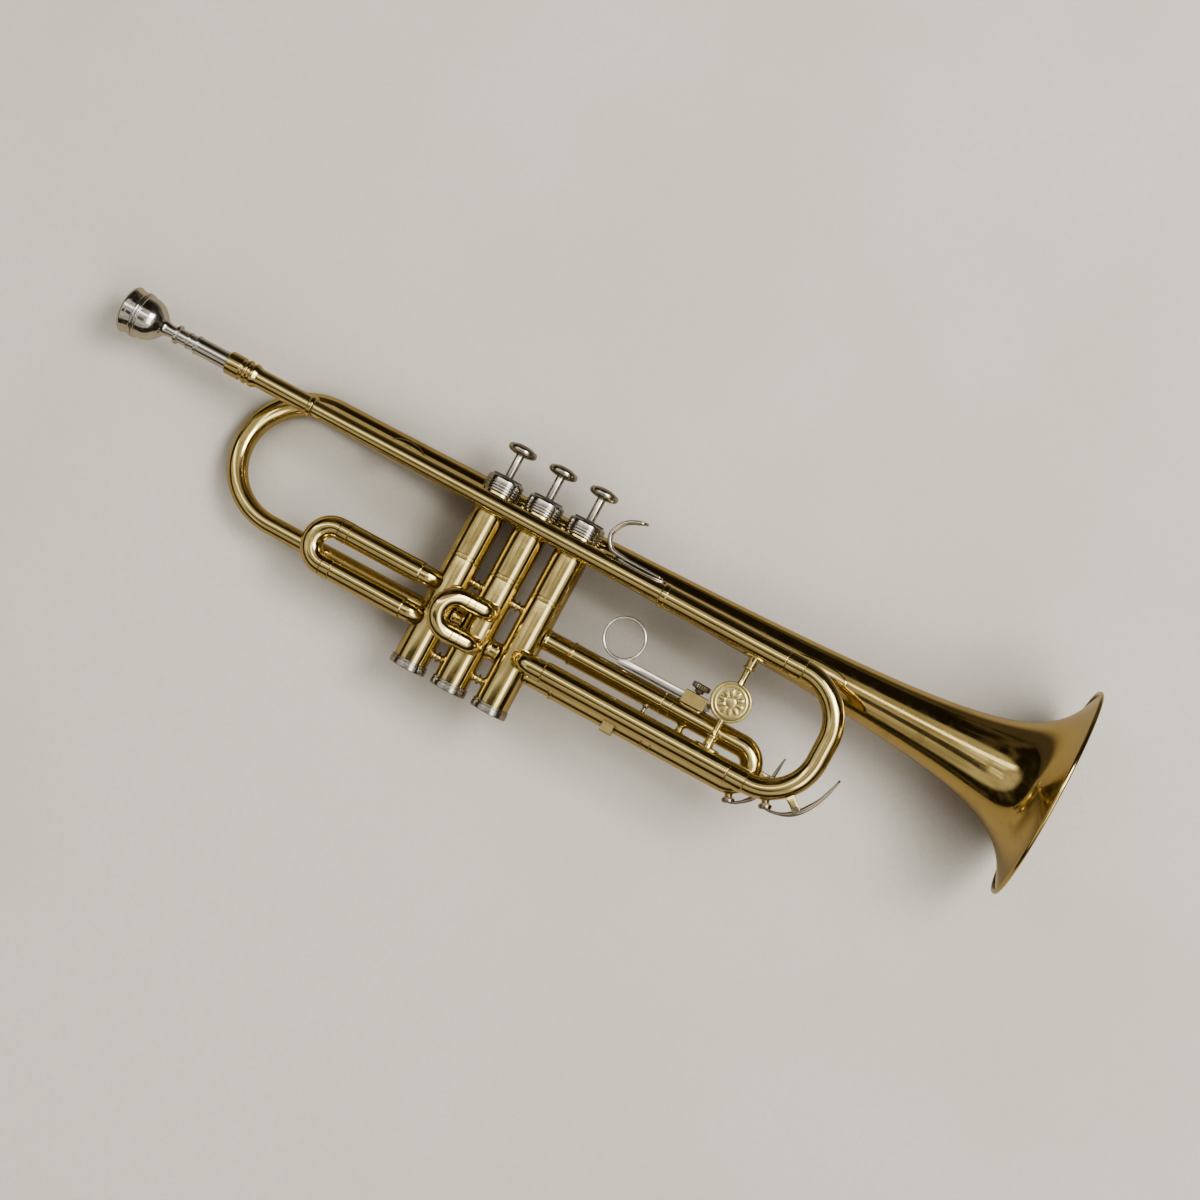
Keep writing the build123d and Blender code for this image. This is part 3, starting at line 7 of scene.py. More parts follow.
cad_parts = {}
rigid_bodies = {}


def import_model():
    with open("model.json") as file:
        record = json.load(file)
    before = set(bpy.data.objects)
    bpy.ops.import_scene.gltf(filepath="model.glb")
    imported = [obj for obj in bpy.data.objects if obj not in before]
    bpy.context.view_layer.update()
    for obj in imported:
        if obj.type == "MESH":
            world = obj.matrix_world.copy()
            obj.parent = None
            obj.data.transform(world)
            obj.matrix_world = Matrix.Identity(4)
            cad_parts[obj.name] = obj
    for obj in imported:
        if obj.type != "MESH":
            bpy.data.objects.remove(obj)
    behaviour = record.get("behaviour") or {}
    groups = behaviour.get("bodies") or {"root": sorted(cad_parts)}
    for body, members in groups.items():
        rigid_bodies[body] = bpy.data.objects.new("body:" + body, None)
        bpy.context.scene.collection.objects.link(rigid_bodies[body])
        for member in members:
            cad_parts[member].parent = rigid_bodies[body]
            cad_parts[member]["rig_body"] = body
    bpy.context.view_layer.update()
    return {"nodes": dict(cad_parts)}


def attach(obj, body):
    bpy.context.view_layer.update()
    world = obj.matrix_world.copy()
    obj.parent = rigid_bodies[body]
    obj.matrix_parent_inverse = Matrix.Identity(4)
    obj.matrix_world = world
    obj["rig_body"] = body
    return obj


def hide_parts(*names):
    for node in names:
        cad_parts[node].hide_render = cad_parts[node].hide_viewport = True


# Looks of a B-flat piston trumpet lying on its left side. Lengths are in millimetres until a mesh
# is made. +X runs to the bell mouth, +Z up the valves to the buttons, -Y to the leadpipe side.

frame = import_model()

MM = 0.001
ALONG = Vector((1, 0, 0))
LEFT = Vector((0, 1, 0))
RIGHT = Vector((0, -1, 0))
UP = Vector((0, 0, 1))
DOWN = Vector((0, 0, -1))

# ---- Dimensions shared with the CAD part ----

VALVES = {1: -25.3, 2: 0.0, 3: 25.3}
CASING_R = 9.8
CASING_BORE = 8.45
THREAD_R = 9.2
BOTTOM_CAP_H = 4.9
SEAM_Z = 68.6
CASING_TOP = 107.8
CASING_FLOOR = 1.62
THREAD_TOP = CASING_TOP + 5.8
CAP_BORE = 9.22
TOP_CAP_Z = 116.6
STEM_R = 2.45
BUTTON_Z = 131.3

LEAD_Y = -16.5
LEAD_Z = 101.2
RIM_X = -254.0
RECEIVER_X = -189.0
LEAD_START = -164.0
LEAD_END = 85.0
MAIN_START = 79.9
MAIN_SEAM = 155.6
MAIN_FERRULE = 166.2
MAIN_LOW_Z = 34.4
MAIN_R = 6.55
MAIN_BOW_R = 5.95
MAIN_CORNER_X = 166.7
MAIN_CORNER_R = 27.7

BELL_Y = 19.3
BELL_Z = 105.5
BELL_RIM_X = 310.8
BELL_RIM_R = 61.5
FLARE_OFFSET = 9.5
FLARE_POWER = 0.56
BELL_WALL = 0.5
BELL_TAIL_X = -130.6
BELL_LEG_Y = 4.2
BELL_LEG_Z = 33.1
RIM_WIRE_R = 1.3

WALL = 0.45
FILM = 0.02


# ---- Mesh building ----

class Shape:
    """Points and faces of one piece, in millimetres."""

    def __init__(self):
        self.points = []
        self.faces = []

    def skin(self, rings, closed=False):
        """Joins rings of points, each with the same count or a single point, by faces."""
        starts = []
        for ring in rings:
            starts.append(len(self.points))
            self.points.extend(ring)
        count = len(rings)
        for near in range(count if closed else count - 1):
            far = (near + 1) % count
            a, b = starts[near], starts[far]
            na, nb = len(rings[near]), len(rings[far])
            sides = max(na, nb)
            for k in range(sides):
                j = (k + 1) % sides
                if na == 1:
                    self.faces.append((a, b + j, b + k))
                elif nb == 1:
                    self.faces.append((a + k, a + j, b))
                else:
                    self.faces.append((a + k, a + j, b + j, b + k))


def across(direction):
    """A unit vector square to a direction."""
    helper = UP if abs(direction.z) < 0.9 else ALONG
    return direction.cross(helper).normalized()


def turns(count, shift=0):
    """Evenly spaced angles round one full turn."""
    return [2 * pi * (k + shift) / count for k in range(count)]


def lathe(shape, origin, direction, profile, segments=64, ripple=None):
    """Turns (distance, radius) points round an axis; ripple adds to a radius by radius and angle."""
    axis = Vector(direction).normalized()
    u = across(axis)
    v = axis.cross(u)
    origin = Vector(origin)
    rings = []
    for along, radius in profile:
        centre = origin + axis * along
        if radius < 1e-5:
            rings.append([centre])
            continue
        ring = []
        for angle in turns(segments):
            r = radius + (ripple(radius, angle) if ripple else 0)
            ring.append(centre + (u * cos(angle) + v * sin(angle)) * r)
        rings.append(ring)
    shape.skin(rings, closed=profile[0][1] > 1e-5 and profile[-1][1] > 1e-5)


def soften(points, radius, closed=True, steps=3, sharpest=12):
    """Rounds the corners of an outline."""
    result = []
    count = len(points)
    for index in range(count):
        here = Vector(points[index])
        if not closed and index in (0, count - 1):
            result.append(tuple(here))
            continue
        into = here - Vector(points[index - 1])
        out = Vector(points[(index + 1) % count]) - here
        if into.length < 1e-6 or out.length < 1e-6:
            continue
        turn = into.angle(out)
        if turn < radians(sharpest):
            result.append(tuple(here))
            continue
        cut = min(radius * tan(min(turn, 2.6) / 2), 0.42 * into.length, 0.42 * out.length)
        start = here - into.normalized() * cut
        end = here + out.normalized() * cut
        for k in range(steps + 1):
            t = k / steps
            result.append(tuple(start * (1 - t) ** 2 + here * (2 * t * (1 - t)) + end * t * t))
    return result


def turned(shape, origin, direction, profile, radius=0.3, segments=64, steps=3, ripple=None):
    """A lathed piece with softened corners. Profiles that start on the axis stay open there."""
    closed = profile[0][1] > 1e-5
    lathe(shape, origin, direction, soften(profile, radius, closed, steps), segments, ripple)


def curve(points, start=None, end=None, steps=10):
    """Points along a smooth line through the given ones, with optional end directions."""
    points = [Vector(p) for p in points]
    count = len(points)
    slopes = []
    for i in range(count):
        if i == 0:
            slope = points[1] - points[0]
            if start is not None:
                slope = Vector(start).normalized() * slope.length
        elif i == count - 1:
            slope = points[-1] - points[-2]
            if end is not None:
                slope = Vector(end).normalized() * slope.length
        else:
            before = points[i] - points[i - 1]
            after = points[i + 1] - points[i]
            la, lb = before.length, after.length
            slope = (before * (lb / la) + after * (la / lb)) / (la + lb)
            slope = slope * min(la, lb)
        slopes.append(slope)
    line = []
    for i in range(count - 1):
        for k in range(steps):
            t = k / steps
            h00 = 2 * t**3 - 3 * t**2 + 1
            h10 = t**3 - 2 * t**2 + t
            h01 = -2 * t**3 + 3 * t**2
            h11 = t**3 - t**2
            line.append(points[i] * h00 + slopes[i] * h10 + points[i + 1] * h01 + slopes[i + 1] * h11)
    line.append(points[-1])
    return line


def frames(path, side):
    """The direction along a flat path at each point, and the one square to it in its plane."""
    result = []
    for i in range(len(path)):
        ahead = path[min(i + 1, len(path) - 1)] - path[max(i - 1, 0)]
        tangent = ahead.normalized()
        result.append((tangent, side.cross(tangent).normalized()))
    return result


def value_at(value, share):
    return value(share) if callable(value) else value


def shares(path):
    """How far along the path each point lies, from 0 to 1."""
    run = [0.0]
    for i in range(1, len(path)):
        run.append(run[-1] + (path[i] - path[i - 1]).length)
    return [r / run[-1] for r in run]


def blend_stops(share, stops):
    """The value at a share of the way, from (share, value) stops in order."""
    for (low, first), (high, second) in zip(stops, stops[1:]):
        if share <= high:
            t = (share - low) / (high - low)
            return first + (second - first) * t * t * (3 - 2 * t)
    return stops[-1][1]


def sweep(shape, path, side, radius, bore=0.0, segments=48):
    """A round tube along a flat path, or a rod with flat ends when it has no bore."""
    side = side.normalized()
    outer, inner = [], []
    for point, share, (tangent, normal) in zip(path, shares(path), frames(path, side)):
        r = value_at(radius, share)
        b = value_at(bore, share)
        spokes = [side * cos(a) + normal * sin(a) for a in turns(segments)]
        outer.append([point + spoke * r for spoke in spokes])
        inner.append([point + spoke * b for spoke in spokes])
    if bore:
        shape.skin(outer + inner[::-1], closed=True)
    else:
        shape.skin([[path[0]]] + outer + [[path[-1]]])


def strip(shape, path, side, half_width, half_thickness, segments=28, power=3.2):
    """A flat strip with rounded edges along a flat path; its width lies along side."""
    side = side.normalized()
    rings = []
    for point, share, (tangent, normal) in zip(path, shares(path), frames(path, side)):
        w = value_at(half_width, share)
        h = value_at(half_thickness, share)
        ring = []
        for angle in turns(segments, 0.5):
            c, s = cos(angle), sin(angle)
            x = (abs(c) ** (2 / power)) * (1 if c > 0 else -1)
            y = (abs(s) ** (2 / power)) * (1 if s > 0 else -1)
            ring.append(point + side * (x * w) + normal * (y * h))
        rings.append(ring)
    shape.skin([[path[0]]] + rings + [[path[-1]]])


def saddle(shape, centre, axis, facing, tube_radius, length, width, thickness, steps=40):
    """An oval plate bent round a tube. tube_radius takes the distance along the axis."""
    centre, axis, facing = Vector(centre), Vector(axis).normalized(), Vector(facing).normalized()
    side = axis.cross(facing)

    def on_tube(share, angle, lift):
        along = share * cos(angle) * length / 2
        round_ = share * sin(angle) * width / 2
        r = tube_radius(along)
        bend = round_ / r
        return centre + axis * along + (facing * cos(bend) + side * sin(bend)) * (r + lift)

    rings = [[on_tube(0, 0, -0.3)]]
    for share in (0.5, 1.0):
        rings.append([on_tube(share, a, -0.3) for a in turns(steps)])
    for share, lift in ((1.0, 0.35), (0.985, 0.7), (0.95, 0.9), (0.88, 1.0), (0.6, 1.0), (0.3, 1.0)):
        rings.append([on_tube(share, a, lift * thickness) for a in turns(steps)])
    rings.append([on_tube(0, 0, thickness)])
    shape.skin(rings)


def plate(shape, outline, origin, u, v, thickness, bevel=0.25, corner=0.6):
    """A flat plate with softened edges. The outline is in (u, v), the thickness is centred."""
    u, v = Vector(u), Vector(v)
    normal = u.cross(v)
    outline = soften(outline, corner, steps=4)
    count = len(outline)
    middle = sum((Vector(p) for p in outline), Vector((0, 0))) / count
    inset = []
    for i in range(count):
        before = (Vector(outline[i]) - Vector(outline[i - 1])).normalized()
        after = (Vector(outline[(i + 1) % count]) - Vector(outline[i])).normalized()
        direction = before + after
        square = Vector((-direction.y, direction.x)).normalized()
        if (middle - Vector(outline[i])).dot(square) < 0:
            square = -square
        inset.append(Vector(outline[i]) + square * bevel)

    def ring(points, height):
        return [Vector(origin) + u * p[0] + v * p[1] + normal * height for p in points]

    half = thickness / 2
    half_way = [Vector(a) * 0.3 + b * 0.7 for a, b in zip(outline, inset)]
    core = Vector(origin) + u * middle.x + v * middle.y
    shape.skin([
        [core - normal * half],
        ring(inset, -half),
        ring(half_way, -half + 0.1 * bevel),
        ring(outline, -half + bevel),
        ring(outline, half - bevel),
        ring(half_way, half - 0.1 * bevel),
        ring(inset, half),
        [core + normal * half],
    ])


def node_slot(node):
    """The record's material slot of a CAD node."""
    return frame["nodes"][node].data.materials[0].name.split(".")[0]


def add_object(name, data):
    obj = bpy.data.objects.new(name, data)
    bpy.context.scene.collection.objects.link(obj)
    return obj


def place(shape, name, *nodes, smooth=38, body=None, slot=None):
    """Makes the mesh, gives it its slot's finish and lets it stand for its CAD nodes."""
    mesh = bpy.data.meshes.new(name)
    mesh.from_pydata([tuple(p * MM) for p in shape.points], [], shape.faces)
    work = bmesh.new()
    work.from_mesh(mesh)
    bmesh.ops.recalc_face_normals(work, faces=work.faces)
    work.to_mesh(mesh)
    work.free()
    mesh.shade_smooth()
    mesh.set_sharp_from_angle(angle=radians(smooth))
    obj = add_object(name, mesh)
    slot = slot or node_slot(nodes[0])
    obj.data.materials.append(finish(slot))
    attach(obj, body or frame["nodes"][nodes[0]]["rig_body"])
    if nodes:
        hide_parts(*nodes)
    return obj


# ---- Materials ----

class Nodes:
    """Short ways to add shader nodes to one tree."""

    def __init__(self, tree):
        self.tree = tree
        tree.nodes.clear()

    def add(self, kind, inputs=None, **settings):
        """Adds a shader node; kind is its type without the common prefix."""
        node = self.tree.nodes.new("ShaderNode" + kind)
        for key, value in settings.items():
            setattr(node, key, value)
        for key, value in (inputs or {}).items():
            self.set(node.inputs[key], value)
        return node

    def set(self, socket, value):
        if isinstance(value, bpy.types.NodeSocket):
            self.tree.links.new(value, socket)
        else:
            socket.default_value = value

    def math(self, operation, a, b=0.0):
        return self.add("Math", {0: a, 1: b}, operation=operation).outputs[0]

    def times(self, a, b):
        return self.math("MULTIPLY", a, b)

    def plus(self, a, b):
        return self.math("ADD", a, b)

    def millimetres(self):
        """The object's coordinates, in millimetres."""
        place_ = self.add("TexCoord").outputs["Object"]
        return self.add("Mapping", {"Vector": place_, "Scale": (1000, 1000, 1000)}).outputs["Vector"]

    def range(self, value, low, high, to_low=0.0, to_high=1.0):
        """Maps low..high smoothly to to_low..to_high."""
        node = self.add("MapRange", interpolation_type="SMOOTHSTEP")
        for key, item in zip(
            ("Value", "From Min", "From Max", "To Min", "To Max"), (value, low, high, to_low, to_high)
        ):
            self.set(node.inputs[key], item)
        return node.outputs["Result"]

    def mix(self, share, a, b):
        """Mixes two colours."""
        node = self.add("Mix", data_type="RGBA")
        self.set(node.inputs["Factor"], share)
        self.set(node.inputs[6], a)
        self.set(node.inputs[7], b)
        return node.outputs[2]

    def noise(self, place_, scale, detail=4.0, rough=0.55, stretch=None):
        """A noise texture, with its scale in features per millimetre."""
        if stretch is not None:
            place_ = self.add("Mapping", {"Vector": place_, "Scale": stretch}).outputs["Vector"]
        settings = {"Vector": place_, "Scale": scale, "Detail": detail, "Roughness": rough}
        return self.add("TexNoise", settings).outputs["Fac"]


def rgb(r, g, b):
    return (r, g, b, 1.0)


def new_material(name):
    """An empty material, with short ways to add nodes to it."""
    material = bpy.data.materials.new(name)
    material.use_nodes = True
    return material, Nodes(material.node_tree)


SCRATCH_STRETCH = (0.25, 6.0, 6.0)


def metal(name, colour, dull, tarnish_and_shade, roughness, coat=0.0, spots=0.5, wear=0.5):
    """A metal with cloudy colour, smudges, fine scratches, spots, and crevices darkened by tarnish and
    painted shade.
    """
    material, n = new_material(name)
    place_ = n.millimetres()
    cloud = n.noise(place_, 0.035, 5, 0.6)
    smudge = n.noise(place_, 0.16, 6, 0.65)
    fine = n.noise(place_, 1.3, 4, 0.6)
    scratch = n.noise(place_, 1.0, 2, 0.5, stretch=SCRATCH_STRETCH)
    speck = n.add("TexVoronoi", {"Vector": place_, "Scale": 0.28, "Randomness": 1.0}).outputs["Distance"]
    # painted shade: occlusion darkens crevices and grooves toward the tarnish colour, standing for both
    # tarnish in the hollows and the shade there
    crevice = n.add("AmbientOcclusion", {"Distance": 0.0035}, samples=4, only_local=False).outputs["AO"]
    crevice_tarnish_and_shade = n.range(crevice, 0.35, 0.9, 1.0, 0.0)
    worn = n.range(n.plus(n.times(cloud, 0.7), n.times(smudge, 0.3)), 0.5, 0.64)
    spot = n.times(
        n.range(speck, 0.05, 0.16, 1.0, 0.0),
        n.range(n.noise(place_, 0.05, 3), 0.5, 0.62, 0.0, spots),
    )
    base = n.mix(n.times(worn, wear), rgb(*colour), rgb(*dull))
    base = n.mix(n.range(fine, 0.4, 0.75, 0.0, 0.25 * wear), base, rgb(*dull))
    stain_and_shade = n.math("MAXIMUM", spot, n.times(crevice_tarnish_and_shade, 0.75))
    base = n.mix(stain_and_shade, base, rgb(*tarnish_and_shade))
    line = n.range(scratch, 0.56, 0.72, 0.0, 1.0)
    rough = n.plus(roughness, n.range(smudge, 0.42, 0.7, 0.0, 0.10))
    rough = n.plus(rough, n.times(line, 0.08))
    rough = n.plus(rough, n.times(stain_and_shade, 0.22))
    height = n.plus(n.times(fine, 0.35), n.times(line, -0.25))
    height = n.plus(height, n.times(spot, -0.4))
    bump = n.add("Bump", {"Strength": 0.16, "Distance": 0.00003, "Height": height})
    shader = n.add("BsdfPrincipled", {
        "Base Color": base,
        "Metallic": 1.0,
        "Roughness": rough,
        "Coat Weight": coat,
        "Coat Roughness": 0.06,
        "Coat Tint": rgb(1.0, 0.97, 0.87),
        "Normal": bump.outputs["Normal"],
    })
    out = n.add("OutputMaterial", {"Surface": shader.outputs["BSDF"]})
    out.is_active_output = True
    return material


def matte(name, colour, dark, roughness, scale, bump=0.5, sheen=0.0):
    """Felt or cork: grainy, dull and uneven."""
    material, n = new_material(name)
    place_ = n.millimetres()
    grain = n.noise(place_, scale, 6, 0.7)
    cell = n.add("TexVoronoi", {"Vector": place_, "Scale": 2 * scale}).outputs["Distance"]
    base = n.mix(n.range(grain, 0.35, 0.68), rgb(*dark), rgb(*colour))
    base = n.mix(n.range(cell, 0.1, 0.3, 0.6, 0.0), base, rgb(*dark))
    height = n.plus(grain, n.times(cell, 0.6))
    relief = n.add("Bump", {"Strength": bump, "Distance": 0.0002, "Height": height})
    rough = n.range(grain, 0.3, 0.7, roughness, roughness - 0.12)
    shader = n.add("BsdfPrincipled", {
        "Base Color": base,
        "Roughness": rough,
        "Sheen Weight": sheen,
        "Normal": relief.outputs["Normal"],
    })
    n.add("OutputMaterial", {"Surface": shader.outputs["BSDF"]})
    return material


BRASS = (0.64, 0.515, 0.205)
BRASS_DULL = (0.44, 0.335, 0.115)
BRASS_DARK = (0.055, 0.036, 0.014)

# colour, dull colour, tarnish and painted crevice shade colour, roughness, coat, spots, wear
METALS = {
    "lacquered_brass": (BRASS, BRASS_DULL, BRASS_DARK, 0.085, 0.3, 0.6),
    "bell_brass": ((0.56, 0.435, 0.16), (0.36, 0.26, 0.085), BRASS_DARK, 0.075, 0.3, 0.7, 0.7),
    "medallion_brass": ((0.50, 0.41, 0.165), (0.34, 0.27, 0.10), (0.09, 0.065, 0.025), 0.26, 0.0, 0.4),
    "guide_brass": (BRASS, BRASS_DULL, BRASS_DARK, 0.28, 0.0, 0.3),
    "silver_plate": ((0.74, 0.735, 0.70), (0.54, 0.52, 0.47), (0.10, 0.085, 0.06), 0.09, 0.0, 0.25),
    "nickel_plate": ((0.46, 0.43, 0.39), (0.30, 0.27, 0.225), (0.05, 0.038, 0.028), 0.13, 0.0, 0.5),
    "dark_nickel": ((0.27, 0.235, 0.19), (0.16, 0.13, 0.10), (0.03, 0.024, 0.017), 0.17, 0.0, 0.5),
    "piston_nickel": ((0.60, 0.58, 0.54), (0.48, 0.46, 0.42), (0.12, 0.10, 0.08), 0.18, 0.0, 0.2),
    "tarnished_steel": ((0.24, 0.20, 0.15), (0.13, 0.10, 0.07), (0.03, 0.02, 0.015), 0.27, 0.0, 0.7),
    "spring_steel": ((0.50, 0.48, 0.45), (0.36, 0.33, 0.30), (0.09, 0.07, 0.06), 0.22, 0.0, 0.3),
}
# colour, dark colour, roughness, grain per millimetre, bump, sheen
MATTES = {
    "black_felt": ((0.028, 0.026, 0.025), (0.012, 0.011, 0.010), 0.97, 1.6, 0.8, 0.4),
    "cork": ((0.48, 0.31, 0.17), (0.22, 0.13, 0.065), 0.85, 1.1, 0.6),
}
finishes = {}


def finish(slot):
    """The material of a slot, made when it is first asked for."""
    if slot not in finishes:
        make, table = (metal, METALS) if slot in METALS else (matte, MATTES)
        finishes[slot] = make(slot, *table[slot])
    return finishes[slot]


# ---- Flat paths ----

def arc(centre, u, v, radius, start, end, steps):
    """Points on an arc, with angles in degrees from u toward v."""
    centre, u, v = Vector(centre), Vector(u), Vector(v)
    angles = [radians(start + (end - start) * k / steps) for k in range(steps + 1)]
    return [centre + u * (radius * cos(a)) + v * (radius * sin(a)) for a in angles]


def bow(centre, outward, rise, leg, half_gap, corner, steps=22):
    """A U path: a straight leg, two round corners and a leg back."""
    centre, outward, rise = Vector(centre), Vector(outward), Vector(rise)
    high = centre + rise * (half_gap - corner)
    low = centre - rise * (half_gap - corner)
    path = [centre + rise * half_gap - outward * leg]
    path += arc(high, rise, outward, corner, 0, 90, steps)
    lower = arc(low, outward, -rise, corner, 0, 90, steps)
    path += lower if corner < half_gap - 1e-3 else lower[1:]
    path.append(centre - rise * half_gap - outward * leg)
    return path


def elbow(valve, toward, leg_y, z, bend_radius, turn, far_x, stop):
    """A lengthwise leg that turns toward +Y and stops short of a valve's axis."""
    angle = radians(turn)
    end_y = leg_y + bend_radius * (1 - cos(angle))
    end_x = VALVES[valve] + toward * cos(angle) * end_y / sin(angle)
    start_x = end_x - toward * bend_radius * sin(angle)
    path = [Vector((far_x, leg_y, z))]
    path += arc((start_x, leg_y + bend_radius, z), (0, -1, 0), (toward, 0, 0), bend_radius, 0, turn, 16)
    reach = Vector((VALVES[valve], 0, z)) - path[-1]
    path.append(path[-1] + reach.normalized() * (reach.length - stop))
    return path


# ---- Bell and bell bow ----

def bell_radius(x):
    return BELL_RIM_R * (FLARE_OFFSET / (BELL_RIM_X - x + FLARE_OFFSET)) ** FLARE_POWER


RIM_RING_R = BELL_RIM_R - RIM_WIRE_R
BELL_EDGE_X = BELL_RIM_X + FLARE_OFFSET - FLARE_OFFSET * (BELL_RIM_R / RIM_RING_R) ** (1 / FLARE_POWER)
BELL_STATIONS = 90

outer_line = []
for step in range(BELL_STATIONS + 1):
    share = 1 - (1 - step / BELL_STATIONS) ** 2.4
    x = BELL_TAIL_X + share * (BELL_EDGE_X - BELL_TAIL_X)
    outer_line.append((x, bell_radius(x)))
inner_line = []
for step in range(BELL_STATIONS + 1):
    x, r = outer_line[step]
    ahead = outer_line[min(step + 1, BELL_STATIONS)]
    behind = outer_line[max(step - 1, 0)]
    slope = Vector((ahead[0] - behind[0], ahead[1] - behind[1])).normalized()
    inner_line.append((x + slope.y * BELL_WALL, r - slope.x * BELL_WALL))
bell = Shape()
lathe(bell, (0, BELL_Y, BELL_Z), ALONG, outer_line + inner_line[::-1], segments=224)
place(bell, "bell_shell", "bell")

bead = [
    (BELL_EDGE_X - 0.3 + RIM_WIRE_R * cos(a), RIM_RING_R + RIM_WIRE_R * sin(a))
    for a in turns(20)
]
rim = Shape()
lathe(rim, (0, BELL_Y, BELL_Z), ALONG, bead, segments=224)
place(rim, "bell_rim_bead", "bell_rim_wire")

rise = Vector((0, BELL_Y - BELL_LEG_Y, BELL_Z - BELL_LEG_Z))
bell_half_gap = rise.length / 2
rise.normalize()
bell_bow_centre = (BELL_TAIL_X - FILM - 0.5, (BELL_Y + BELL_LEG_Y) / 2, (BELL_Z + BELL_LEG_Z) / 2)
path = bow(bell_bow_centre, -ALONG, rise, 0.5, bell_half_gap, bell_half_gap, 40)
path.append(Vector((VALVES[1] - CASING_R + 0.6, BELL_LEG_Y, BELL_LEG_Z)))
tail_radius = bell_radius(BELL_TAIL_X)
bell_bow = Shape()
BELL_LEG_R = 5.5
sweep(
    bell_bow, path, ALONG.cross(rise),
    lambda s: tail_radius - (tail_radius - BELL_LEG_R) * min(s / 0.5, 1.0),
    lambda s: tail_radius - WALL - (tail_radius - BELL_LEG_R) * min(s / 0.5, 1.0),
)
place(bell_bow, "bell_bow_tube", "bell_bow")

# ---- Mouthpiece, receiver, leadpipe and finger hook ----

LEAD = (0, LEAD_Y, LEAD_Z)


def leadpipe_radius(x):
    return 4.6 + (x - LEAD_START) / (LEAD_END - LEAD_START) * (5.65 - 4.6)


rim_line = arc((3.0, 10.75, 0), (-1, 0, 0), (0, 1, 0), 2.75, -62, 72, 12)
mouthpiece_line = [(max(p.x, 0.0), p.y) for p in rim_line]
mouthpiece_line += soften(
    [
        (2.6, 13.4), (4.4, 12.7), (7.9, 12.35), (8.3, 13.2), (9.3, 13.2), (9.6, 12.4),
        (9.9, 12.4), (10.2, 13.0), (10.9, 13.0), (11.3, 12.2), (14.4, 12.0),
    ], 0.5, closed=False,
)
mouthpiece_line += [
    (p.x, p.y) for p in curve(
        [(14.4, 12.0, 0), (19.0, 10.2, 0), (22.4, 7.2, 0), (25.0, 4.4, 0), (29.6, 3.5, 0)], (1, -0.2, 0),
        (1, -0.05, 0), 7
    )[1:]
]
mouthpiece_line += soften(
    [
        (31.2, 3.6), (31.5, 5.0), (31.8, 5.4), (33.4, 5.4), (33.7, 5.0), (33.9, 4.1),
        (39.2, 4.2), (39.4, 4.8), (40.6, 4.8), (40.8, 4.3), (44.2, 4.5), (44.5, 5.4),
        (46.0, 5.4), (46.3, 5.0), (65.0, 5.0), (88.0, 4.55), (88.0, 3.75), (26.0, 1.85), (18.0, 1.85),
    ], 0.35, closed=False,
)
mouthpiece_line += [
    (p.x, p.y) for p in curve([(18.0, 1.85, 0), (11.5, 5.0, 0), (6.0, 7.6, 0), (1.8, 8.25, 0)], steps=5)[1:]
]
mouthpiece = Shape()
lathe(mouthpiece, (RIM_X, LEAD_Y, LEAD_Z), ALONG, mouthpiece_line, segments=96)
place(mouthpiece, "mouthpiece_turned", "mouthpiece")

receiver_line = [
    (0, 5.02), (0, 6.15), (0.5, 6.55), (8.6, 6.55), (9.2, 5.75), (10.4, 5.75), (11.2, 6.75),
    (12.6, 6.75), (13.4, 5.75), (14.6, 5.75), (15.4, 6.65), (16.8, 6.65), (18.6, 5.65), (20.0, 5.35),
    (51.1, 5.35), (51.7, 6.05), (53.7, 6.05), (54.5, 5.15), (54.5, 4.75), (24.5, 4.62),
]
receiver = Shape()
turned(receiver, (RECEIVER_X, LEAD_Y, LEAD_Z), ALONG, receiver_line, 0.45, segments=72)
place(receiver, "receiver_turned", "mouthpiece_receiver")

leadpipe = Shape()
turned(leadpipe, LEAD, ALONG, [
    (LEAD_START, 4.0), (LEAD_START, 4.6), (LEAD_END, 5.65), (LEAD_END, 5.1),
], 0.2)
place(leadpipe, "leadpipe_tube", "leadpipe")

HOOK_BASE_START = 48.6
HOOK_BASE_END = 79.4
hook = Shape()
hook_middle = (HOOK_BASE_START + HOOK_BASE_END) / 2
saddle(
    hook, (hook_middle, LEAD_Y, LEAD_Z), ALONG, UP, lambda along: leadpipe_radius(hook_middle + along),
    HOOK_BASE_END - HOOK_BASE_START, 7.6, 1.1,
)
hook_top = LEAD_Z + leadpipe_radius(60) + 1.45
hook_line = curve(
    [(x, LEAD_Y, z) for x, z in [
        (77.0, hook_top), (66.0, hook_top), (53.0, LEAD_Z + 7.2), (44.7, LEAD_Z + 8.8),
        (41.0, LEAD_Z + 15.5), (45.0, LEAD_Z + 24.0), (56.5, LEAD_Z + 29.0),
    ]],
    (-1, 0, 0), (1, 0, 0.15), 14,
)


def hook_width(share):
    """Narrow along the leadpipe, full round the bend, wider and rounded at the paddle."""
    if share < 0.04:
        return 3.3 * (1 - (1 - share / 0.04) ** 2) ** 0.5 + 0.05
    if share > 0.93:
        return 4.2 * max(1 - ((share - 0.93) / 0.07) ** 2, 0.0) ** 0.5 + 0.05
    return 3.3 + 0.9 * min(max((share - 0.3) / 0.4, 0.0), 1.0)


def hook_half_thickness(share):
    """Thin over the base, thicker round the bend, thin again at the tip."""
    return blend_stops(share, [(0, 0.45), (0.05, 0.75), (0.3, 0.9), (0.45, 1.3), (0.9, 1.25), (1, 0.8)])


strip(hook, hook_line, LEFT, hook_width, hook_half_thickness)
place(hook, "finger_hook_strip", "finger_hook")

# ---- Main tuning slide ----

MAIN_BORE = MAIN_R - WALL
MAIN_INNER = MAIN_BORE - 0.05


def tube_end(seam, radius, bore):
    """An outer slide tube's end, with a small chamfer at the seam."""
    return [(seam - 0.35, radius), (seam - FILM, radius - 0.3), (seam - FILM, bore)]


